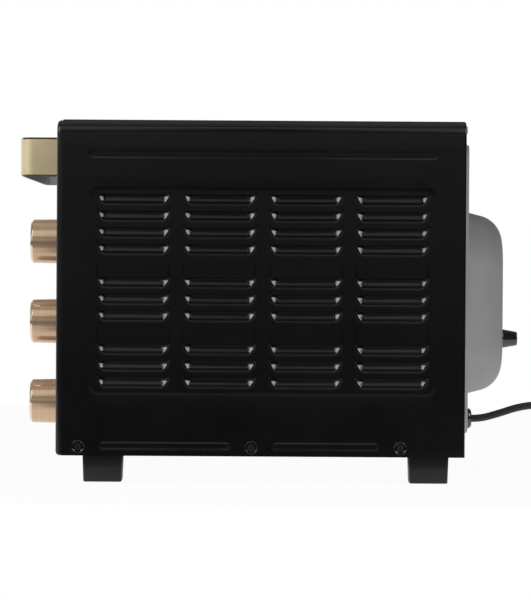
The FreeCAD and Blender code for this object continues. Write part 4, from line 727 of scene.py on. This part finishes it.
def sheetRows(w):
    # heights on the side; each open slit has two rows, a hair above and below it
    firstZ = louvreGrid(w)[2]
    openRows = [row for row in range(w["rows"]) if row == 0 or row % w["group"]]
    slits = firstZ - np.array(openRows) * w["louvrePitch"]
    low, dimple = baseZ + w["fieldBottom"], baseZ + w["dimpleRise"]
    extra = beside(low + w["fieldHeight"], low, "fieldEdges") + beside(dimple, dimple, "dimpleRows")
    extra.append((slits[:, None] - listed("louvreRows")).ravel())
    for _, _, height in beadSpans(w):
        extra += beside(height, height, "beadRows")
    rows = stations(baseZ, topZ - w["bend"], extra)
    rows = rows[np.abs(rows[:, None] - slits).min(axis=1) > sheetGrid["slitClear"]]
    return np.sort(np.concatenate([rows, slits - sheetGrid["hair"], slits + sheetGrid["hair"]]))


def makeCaseHalf(name, w, side):
    # rows climb the side, turn over the bend and run to the middle of the top; columns run to the rear
    # edge and curl in; every point is then pushed in by the pressed depth, square to the sheet
    heights, columns = sheetRows(w), sheetColumns(w)
    turn = np.linspace(0, np.pi / 2, sheetGrid["bendSteps"] + 1)[1:]
    across = np.linspace(sideX - w["bend"], 0, sheetGrid["topSteps"] + 1)[1:]
    bendX = sideX - w["bend"] + w["bend"] * np.cos(turn)
    bendZ = topZ - w["bend"] + w["bend"] * np.sin(turn)
    rowX = np.concatenate([np.full(len(heights), sideX), bendX, across])
    rowZ = np.concatenate([heights, bendZ, np.full(len(across), topZ)])
    lean = np.concatenate([np.zeros(len(heights)), turn, np.full(len(across), np.pi / 2)])
    curl = np.linspace(0, np.pi / 2, sheetGrid["curlSteps"] + 1)[1:]
    inset = np.concatenate([np.zeros(len(columns)), w["edgeRound"] * (1 - np.cos(curl)), [w["flange"]]])
    columnY = np.concatenate([columns, rearY - w["edgeRound"] * (1 - np.sin(curl)), [rearY]])
    depth = np.zeros((len(rowX), len(columnY)))
    depth[:len(heights), :len(columns)] = pressDepth(columns, heights[:, None], w)
    inward = depth + inset
    x = rowX[:, None] - np.cos(lean)[:, None] * inward
    z = rowZ[:, None] - np.sin(lean)[:, None] * inward
    y = np.broadcast_to(columnY, x.shape)
    points = np.stack([side * x, y, z], axis=-1)
    quads = gridFaces(*x.shape)
    i, j = np.divmod(quads[:, 0], x.shape[1])
    step = np.abs(np.diff(depth, axis=0)) > sheetGrid["openDepth"]
    atSlit = np.diff(rowZ) < 4 * sheetGrid["hair"]  # the two rows of a slit
    atSlit[len(heights) - 1:] = False
    opened = atSlit[i] & step[i, j] & step[i, j + 1]  # the faces that would close a slit are left out
    quads = quads[~opened]
    if side > 0:
        quads = quads[:, ::-1]
    obj = putMesh(name, points.reshape(-1, 3), [quads])
    skin = obj.modifiers.new("sheet", "SOLIDIFY")
    skin.thickness = w["sheet"]
    skin.offset = -1.0
    return finish(obj, ["casePaint"], "outer_case")


makeCaseHalf("caseRightHalf", wrap, 1)
makeCaseHalf("caseLeftHalf", wrap, -1)
print("case pressed:", len(sheetRows(wrap)), "by", len(sheetColumns(wrap)), "points a side")


# strap handle: a flat bar bent to a wide U, its long edges cut back
strap = dict(thick=0.003, bend=0.013, cut=0.0018, innerEdge=0.0004, lip=0.0006, bendSteps=16, gripSteps=8,
             sharpDegrees=35)


def makeHandle(h):
    # a bar section carried along the U: two arms, two quarter bends and the long grip
    low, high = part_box("handle")
    bend, half, cut = h["bend"], h["thick"] / 2, h["cut"]
    turn = np.linspace(0, np.pi / 2, h["bendSteps"] + 1)
    left = -np.stack([np.cos(turn), np.sin(turn)], axis=-1)  # outwards round the left bend
    right = left[::-1] * [-1, 1]
    grip = np.linspace(low.x + bend, high.x - bend, h["gripSteps"] + 1)[1:-1]
    out = np.concatenate([[[-1, 0]], left, np.tile([[0, -1]], (len(grip), 1)), right, [[1, 0]]])
    path = np.concatenate([[[low.x + half, high.y]],
                           np.array([low.x + bend, low.y + bend]) + (bend - half) * left,
                           np.stack([grip, np.full(len(grip), low.y + half)], axis=-1),
                           np.array([high.x - bend, low.y + bend]) + (bend - half) * right,
                           [[high.x - half, high.y]]])
    edge, lip = h["innerEdge"], h["lip"]
    under = [(-half, edge), (-half + edge, 0), (half - cut, 0), (half, cut), (half, cut + lip)]
    section = np.array([(reach, low.z + rise) for reach, rise in under]
                       + [(reach, high.z - rise) for reach, rise in under[::-1]])
    rings = np.empty((len(path), len(section), 3))
    rings[..., :2] = path[:, None, :] + out[:, None, :] * section[None, :, :1]
    rings[..., 2] = section[None, :, 1]
    # the top and bottom strips wear the dark copy of the champagne, painted shade on the strap's edges
    wears = np.array([1, 1, 1, 0, 0, 0, 1, 1, 1, 2])  # which finish each strip of the section wears
    obj = ringSkin("strapHandle", rings, np.tile(wears, (len(path) - 1, 1)))
    fixNormals(obj, h["sharpDegrees"])
    return finish(obj, ["champagne", "champagneEdgeShade", "gripInsert"], "handle")


makeHandle(strap)
print("handle bent")


# knobs: turned bodies with a chamfer in a lighter rose gold that is a painted highlight, a dished face and an
# inlaid pointer
knobTurn = dict(bore=0.0165, baseRadius=0.0206, baseEase=0.0003, frontRadius=0.0201, chamfer=0.002,
                skirt=0.0012, ease=0.0004, dish=0.0006, dishOuter=0.0148, dishInner=0.0138, dishEase=0.0002,
                middle=0.0004, pointerReach=0.0185, pointerWidth=0.0018, pointerLength=0.009,
                pointerProud=0.00015, pointerSink=0.0008, pointerCorner=0.95, pointerSoft=0.1, arcSteps=4,
                steps=96)


def makeKnob(word, k):
    # an outline turned about Y, and a pointer of three rounded rectangles
    node, name, body = word + "_knob", word + "Knob", word + "_control"
    low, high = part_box(node)
    centre = faceCentre(node, low.y)
    length, ease, soft = high.y - low.y, k["ease"], k["dishEase"]
    base, front, chamfer = k["baseRadius"], k["frontRadius"], k["chamfer"]
    outline = softOutline(
        [(k["bore"], length), (base - k["baseEase"], length), (base, length - k["skirt"]), (front, chamfer),
         (front - chamfer, 0.0), (k["dishOuter"], 0.0), (k["dishInner"], k["dish"]),
         (k["middle"], k["dish"])],
        [ease, ease, ease, ease, soft, soft], k["arcSteps"])
    # the chamfer strips wear the lighter rose gold, a painted highlight
    bright = (outline[:, 1] < chamfer + soft) & (outline[:, 0] > front - chamfer - soft)
    obj = lathe(name, outline, centre, k["steps"], bright[:-1].astype(int))
    finish(obj, ["roseGold", "roseEdgeHighlight"], node)
    half, reach = k["pointerWidth"] / 2, k["pointerLength"] / 2
    corner, inset = half * k["pointerCorner"], half * k["pointerSoft"]
    middle = (centre.x, low.y, centre.z + k["pointerReach"] - 2 * half - reach)
    pointer = loft(name + "Pointer", middle, (1, 0, 0), (0, 0, 1), (0, -1, 0),
                   [(half, reach, corner, -k["pointerSink"]), (half, reach, corner, 0.0),
                    (half - inset, reach - inset, corner - inset, k["pointerProud"])], steps=5)
    fixNormals(pointer)
    finish(pointer, ["frontPaint"], body=body)


for word in ("temperature", "function", "timer"):
    makeKnob(word, knobTurn)
print("knobs turned")


# dial marks printed on the control panel: ticks and plain numbers around each knob, clockwise from the top
dials = (  # knob, degrees of the scale, ticks, labels with their degrees
    ("temperature_knob", 280, 15, (("0", 0), ("100", 80), ("150", 140), ("200", 200), ("250", 280))),
    ("function_knob", 240, 4, (("0", 0), ("1", 80), ("2", 160), ("3", 240))),
    ("timer_knob", 300, 13, (("0", 0), ("15", 75), ("30", 150), ("45", 225), ("60", 300))),
)
mark = dict(inner=0.0235, outer=0.0262, wide=0.0005, proud=0.00012, labelRadius=0.0302, labelSize=0.00672,
            labelSteps=4)


def makeTicks(m, centre, span, count):
    # thin boxes whose long side points at the knob's middle
    turn = np.radians(np.linspace(0, span, count))
    out = np.stack([np.sin(turn), 0 * turn, np.cos(turn)], axis=-1)[:, None, :]
    side = np.stack([np.cos(turn), 0 * turn, -np.sin(turn)], axis=-1)[:, None, :]
    along = np.array([m["inner"], m["outer"], m["outer"], m["inner"]] * 2)[None, :, None]
    across = np.array([-1, -1, 1, 1] * 2)[None, :, None] * m["wide"] / 2
    lift = np.array([0, 0, 0, 0, 1, 1, 1, 1])[None, :, None] * np.array([0, -m["proud"], 0])
    points = np.asarray(centre) + along * out + across * side + lift
    box = np.array([[4, 5, 6, 7], [0, 4, 7, 3], [1, 2, 6, 5], [0, 1, 5, 4], [3, 7, 6, 2]])
    quads = (np.arange(count)[:, None, None] * 8 + box[None]).reshape(-1, 4)  # eight points to a box
    return points.reshape(-1, 3), quads


def makeLabel(m, text):
    # letters made mesh at the origin, centred
    curve = bpy.data.curves.new("dialLabel", "FONT")
    curve.body = text
    curve.size = m["labelSize"]
    curve.align_x = "CENTER"
    curve.align_y = "CENTER"
    curve.resolution_u = m["labelSteps"]
    obj = addObject("dialLabel", curve)
    bpy.context.view_layer.update()
    mesh = bpy.data.meshes.new_from_object(obj.evaluated_get(bpy.context.evaluated_depsgraph_get()))
    bpy.data.objects.remove(obj)
    bpy.data.curves.remove(curve)
    return mesh


def makeDial(m, knob, span, count, labels):
    centre = faceCentre(knob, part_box("control_panel")[0].y)
    points, quads = makeTicks(m, centre, span, count)
    obj = putMesh(knob.replace("_knob", "DialMarks"), points, [quads], smooth=False)
    work = bmesh.new()
    work.from_mesh(obj.data)
    for text, degrees in labels:
        mesh = makeLabel(m, text)
        turn = math.radians(degrees)
        place = centre + Vector((math.sin(turn), 0, math.cos(turn))) * m["labelRadius"]
        place.y -= m["proud"]
        mesh.transform(Matrix.Translation(place) @ Matrix.Rotation(math.pi / 2, 4, "X"))
        work.from_mesh(mesh)
        bpy.data.meshes.remove(mesh)
    work.to_mesh(obj.data)
    work.free()
    return finish(obj, ["markInk"], body="oven_body")


for dial in dials:
    makeDial(mark, *dial)
print("dials printed:", len(dials))


# strain relief: a low round cap that the cord leaves by
bush = dict(length=0.006, crown=0.0036, mouth=0.0042, lip=0.0008, bore=0.0036, stem=0.0062, depth=0.004,
            stemEase=0.0002, rimEase=0.0003, lipEase=0.0004, arcSteps=7, steps=64)


def makeBush(b):
    # an outline turned about Y: a stem in the panel, and a disc whose rim rounds over to a lipped mouth
    low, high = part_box("strain_relief")
    wide, length, mouth, lip = (high.x - low.x) / 2, b["length"], b["mouth"], b["lip"]
    outline = softOutline(
        [(b["bore"], -b["depth"]), (b["stem"], -b["depth"]), (b["stem"], 0.0), (wide, 0.0), (wide, length),
         (mouth + 2 * lip, length), (mouth, length - lip), (b["bore"], length - lip)],
        [b["stemEase"], 0, b["rimEase"], b["crown"], b["lipEase"], b["rimEase"]], b["arcSteps"])
    obj = lathe("strainRelief", outline, faceCentre("strain_relief", high.y - length), b["steps"])
    return finish(obj, ["glossPlastic"], "strain_relief")


makeBush(bush)


# rear spacers and feet
spacer = dict(length=0.016, stem=0.003, depth=0.0045, collar=0.0015, collarEnd=0.0022, collarStep=0.0006,
              tip=0.0066, middle=0.0002, collarEase=0.0003, coneEase=0.0004, tipEase=0.0014, arcSteps=5,
              steps=48)


def makeSpacer(node, s):
    # an outline turned about Y: a stem, a base collar and a plain cone with a rounded end
    low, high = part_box(node)
    wide, length = (high.x - low.x) / 2, s["length"]
    outline = softOutline(
        [(s["stem"], -s["depth"]), (s["stem"], 0.0), (wide, 0.0), (wide, s["collar"]),
         (wide - s["collarStep"], s["collarEnd"]), (s["tip"], length), (s["middle"], length)],
        [0, s["collarEase"], s["coneEase"], s["coneEase"], s["tipEase"]], s["arcSteps"])
    obj = lathe(camelName(node), outline, faceCentre(node, high.y - length), s["steps"])
    return finish(obj, ["glossPlastic"], node)


foot = dict(draft=0.0008, soft=0.0013, softRings=6, lowCorner=0.0034, corner=0.0026)


def makeFoot(node, f):
    # rounded rectangles that widen by a quarter circle at the bottom, then by the draft to the top
    low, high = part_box(node)
    centre = ((low.x + high.x) / 2, (low.y + high.y) / 2, low.z)
    halfX, halfY, tall = (high.x - low.x) / 2, (high.y - low.y) / 2, high.z - low.z
    sections = []
    for turn in np.linspace(0, math.pi / 2, f["softRings"]):
        inset = f["draft"] + f["soft"] * (1 - math.sin(turn))
        place = f["soft"] * (1 - math.cos(turn))
        sections.append((halfX - inset, halfY - inset, f["lowCorner"] - inset, place))
    for share in (0.5, 1.0):
        inset = f["draft"] * (1 - share)
        sections.append((halfX - inset, halfY - inset, f["corner"], tall * share))
    obj = loft(camelName(node), centre, (1, 0, 0), (0, 1, 0), (0, 0, 1), sections)
    fixNormals(obj)
    return finish(obj, ["blackPlastic"], node)


for side in ("left", "right"):
    makeSpacer(side + "_rear_spacer", spacer)
    for end in ("front", "rear"):
        makeFoot(f"{end}_{side}_foot", foot)
print("feet and spacers set")


# the other nodes keep their CAD shape, merged and eased
plainNodes = dict(  # finish, and the nodes that wear it
    frontPaint="front_frame control_panel door_frame door_bottom_rail crumb_tray_front",
    lampLens="indicator_lamp",
    blackZinc="case_side_screws",
    galvanised="rear_panel base_plate",
    zincSteel="rear_panel_screws foot_screws left_hinge_bracket right_hinge_bracket hinge_pins handle_screws"
              " rack_hooks thermostat_bulb bulb_clips temperature_shaft function_shaft timer_shaft timer"
              " control_nuts",
    rubber="foot_pads",
    doorGlass="door_glass",
    sealRubber="door_seal",
    blackPlastic="left_handle_bracket right_handle_bracket",
    linerSteel="cavity_liner left_shelf_rails right_shelf_rails crumb_tray",
    heaterSteel="upper_heaters lower_heaters",
    ceramic="heater_insulators terminal_block",
    chromeWire="wire_rack",
    panCoat="baking_tray",
    bakelite="thermostat function_switch",
    cordJacket="wiring",
)
easedEdges = dict(  # bevel width; the others keep their edges
    control_panel=0.0004, case_side_screws=0.00015, rear_panel_screws=0.0003, foot_pads=0.0002,
    door_glass=0.0004, door_bottom_rail=0.0003, door_seal=0.0003, left_handle_bracket=0.0006,
    right_handle_bracket=0.0006, rack_hooks=0.0003, heater_insulators=0.0003, crumb_tray_front=0.0004,
    control_nuts=0.0002)
ownNames = dict(thermostat="thermostatBox", timer="timerBox", wiring="innerWiring")
plainPieces = {node: dressCopy(node, finishName, easedEdges.get(node, 0.0), ownNames.get(node))
               for finishName, nodes in plainNodes.items() for node in nodes.split()}
print("plain pieces dressed:", len(plainPieces))


# floor and world; four numbers are a ramp: its first and last value, and where it starts and ends
studio = dict(
    floorLow=(-1.4, -1.3), floorHigh=(0.52, 1.3), floorDrop=0.0002, floorRough=0.9,
    floorColour=(0.86, 0.86, 0.86), floorGlow=0.95, bounce=0.7,  # glow where it is seen, and as a light
    # the painted dark reflection: the ramps where the floor is dark to glossy rays, then its glow and colour
    # there
    sideDark=(0.0, 1.0, 0.266, 0.345), reflectionShadeRearEnd=(1.0, 0.0, 0.1, 0.2), reflectionShadeFrontEnd=(0.0, 1.0, -0.3, -0.2),
    reflectionShadeGlow=0.05, reflectionShadeColour=(0.07, 0.07, 0.07), edgeFade=0.5, nearFade=0.5 / 3,
    roomDepth=(0.2, 0.1, -0.5, 0.15), horizon=(0.25, 3.2, -0.06, 0.09), ground=(6.0, 1.0, -0.25, -0.06),
    low=(1.0, 0.0, 0.12, 0.4), overhead=0.35, rearEnd=(1.0, 0.2, 0.05, 0.6), ends=(0.95, 1.5, 0.0, 0.12),
    fill=0.05, farWall=(0.6, 0.0, -0.35, -0.05))


def makeFloor(s):
    # a glowing white sheet that still takes a faint shadow; beside the case it turns dark to glossy rays
    # alone, a painted dark reflection in the case paint
    (x0, y0), (x1, y1) = s["floorLow"], s["floorHigh"]
    corners = np.array([[x0, y0, 0], [x1, y0, 0], [x1, y1, 0], [x0, y1, 0]])
    obj = putMesh("studioFloor", corners, [np.array([[0, 1, 2, 3]])], smooth=False)
    material, tree, shader = newMaterial("studioFloor")
    ray = newNode(tree, "LightPath").outputs
    x, y, _ = splitAxes(tree, coordinates(tree))
    # painted reflection: beside the case, to glossy rays alone, the floor goes dark
    paintedReflectionShade = chain(tree, "MULTIPLY", ramp(tree, x, *s["sideDark"]), ramp(tree, y, *s["reflectionShadeRearEnd"]),
                     ramp(tree, y, *s["reflectionShadeFrontEnd"]), ray["Is Glossy Ray"])
    fade = ramp(tree, paintedReflectionShade, 1.0, s["reflectionShadeGlow"])
    seen = chain(tree, "MAXIMUM", ray["Is Camera Ray"], ray["Is Glossy Ray"], ray["Is Transmission Ray"])
    aside = mathNode(tree, "ABSOLUTE", y)
    rim = chain(tree, "MAXIMUM", ramp(tree, x, 0.0, 1.0, x1 - s["nearFade"], x1),
                ramp(tree, x, 1.0, 0.0, x0, x0 + s["edgeFade"]),
                ramp(tree, aside, 0.0, 1.0, y1 - s["edgeFade"], y1))  # it melts into the white behind it
    rim = mathNode(tree, "MULTIPLY", rim, ray["Is Camera Ray"])
    glowing = mathNode(tree, "MAXIMUM", ramp(tree, seen, s["bounce"], s["floorGlow"]), rim)
    setInputs(tree, shader, {"Base Color": ramp(tree, fade, s["reflectionShadeColour"], s["floorColour"]),
                             "Roughness": s["floorRough"], "Specular IOR Level": 0.0})
    glow = newNode(tree, "Emission", dict(Color=(1, 1, 1, 1)))
    mix = newNode(tree, "MixShader", {0: mathNode(tree, "MULTIPLY", glowing, fade), 1: shader.outputs[0],
                                      2: glow.outputs[0]})
    setInputs(tree, tree.nodes["Material Output"], dict(Surface=mix.outputs[0]))
    obj.data.materials.append(material)
    obj.location.z = -s["floorDrop"]


def makeWorld(s):
    # white to the camera and through glass; the rest is lit by a dim room, brightest near the horizon
    world = bpy.data.worlds.new("studio")
    scene.world = world
    world.use_nodes = True
    tree = world.node_tree
    ray = newNode(tree, "LightPath").outputs
    x, y, z = splitAxes(tree, newNode(tree, "TexCoord").outputs["Generated"])
    low = ramp(tree, z, *s["low"])
    aside = mathNode(tree, "ABSOLUTE", y)
    room = chain(tree, "MULTIPLY", ramp(tree, x, *s["roomDepth"]), ramp(tree, z, *s["horizon"]),
                 ramp(tree, z, *s["ground"]), ramp(tree, low, s["overhead"], 1.0),
                 ramp(tree, y, *s["rearEnd"]), ramp(tree, aside, *s["ends"]))
    room = mathNode(tree, "ADD", room, mathNode(tree, "MULTIPLY", ray["Is Diffuse Ray"], s["fill"]))
    far = chain(tree, "MULTIPLY", low, ramp(tree, x, *s["farWall"]), ray["Is Glossy Ray"])  # pale in gloss
    shown = chain(tree, "MAXIMUM", ray["Is Camera Ray"], ray["Is Transmission Ray"], far)
    strength = newNode(tree, "Mix", {0: shown, 2: room, 3: 1.0}).outputs[0]
    setInputs(tree, tree.nodes["Background"], dict(Color=(1, 1, 1, 1), Strength=strength))


lamps = (  # name, place, aim, size, watts
    ("topSoftbox", (0.2, 0.0, 2.2), (0.0, 0.0, 0.2), (1.2, 1.6), 2.0),
    ("sideFrontSoftbox", (2.3, -0.82, 2.3), (0.2, -0.1, 0.2), (1.4, 1.9), 6.5),
    ("sideRearSoftbox", (2.3, 0.82, 2.3), (0.2, 0.1, 0.2), (1.4, 1.9), 6.5),
    ("frontSoftbox", (0.985, -1.807, 1.305), (0.1, -0.1, 0.18), (0.45, 1.15), 19.0),
    ("rearSoftbox", (0.985, 1.807, 1.305), (0.1, 0.1, 0.18), (0.4, 1.15), 15.5),
    ("panelSoftbox", (2.1, 0.34, 0.1), (0.2, 0.2, 0.19), (0.3, 0.6), 14.0),
)
lampLinks = (("rearSoftbox", "EXCLUDE"), ("panelSoftbox", "INCLUDE"))  # what they do with the rear panel


def makeLamp(name, place, aim, size, watts):
    data = bpy.data.lights.new(name, "AREA")
    data.shape = "RECTANGLE"
    data.size, data.size_y = size
    data.energy = watts
    obj = addObject(name, data)
    obj.location = place
    obj.rotation_mode = "QUATERNION"
    obj.rotation_quaternion = (Vector(aim) - Vector(place)).to_track_quat("-Z", "Y")
    return obj


def linkLamp(lamp, obj, state):
    # light linking: the lamp lights this piece alone (INCLUDE), or everything else (EXCLUDE)
    linked = bpy.data.collections.new(lamp.name + "Link")
    linked.objects.link(obj)
    linked.collection_objects[0].light_linking.link_state = state
    lamp.light_linking.receiver_collection = linked


makeFloor(studio)
makeWorld(studio)
lampObjects = {lamp[0]: makeLamp(*lamp) for lamp in lamps}
for name, state in lampLinks:
    linkLamp(lampObjects[name], plainPieces["rear_panel"], state)
print("studio lit")
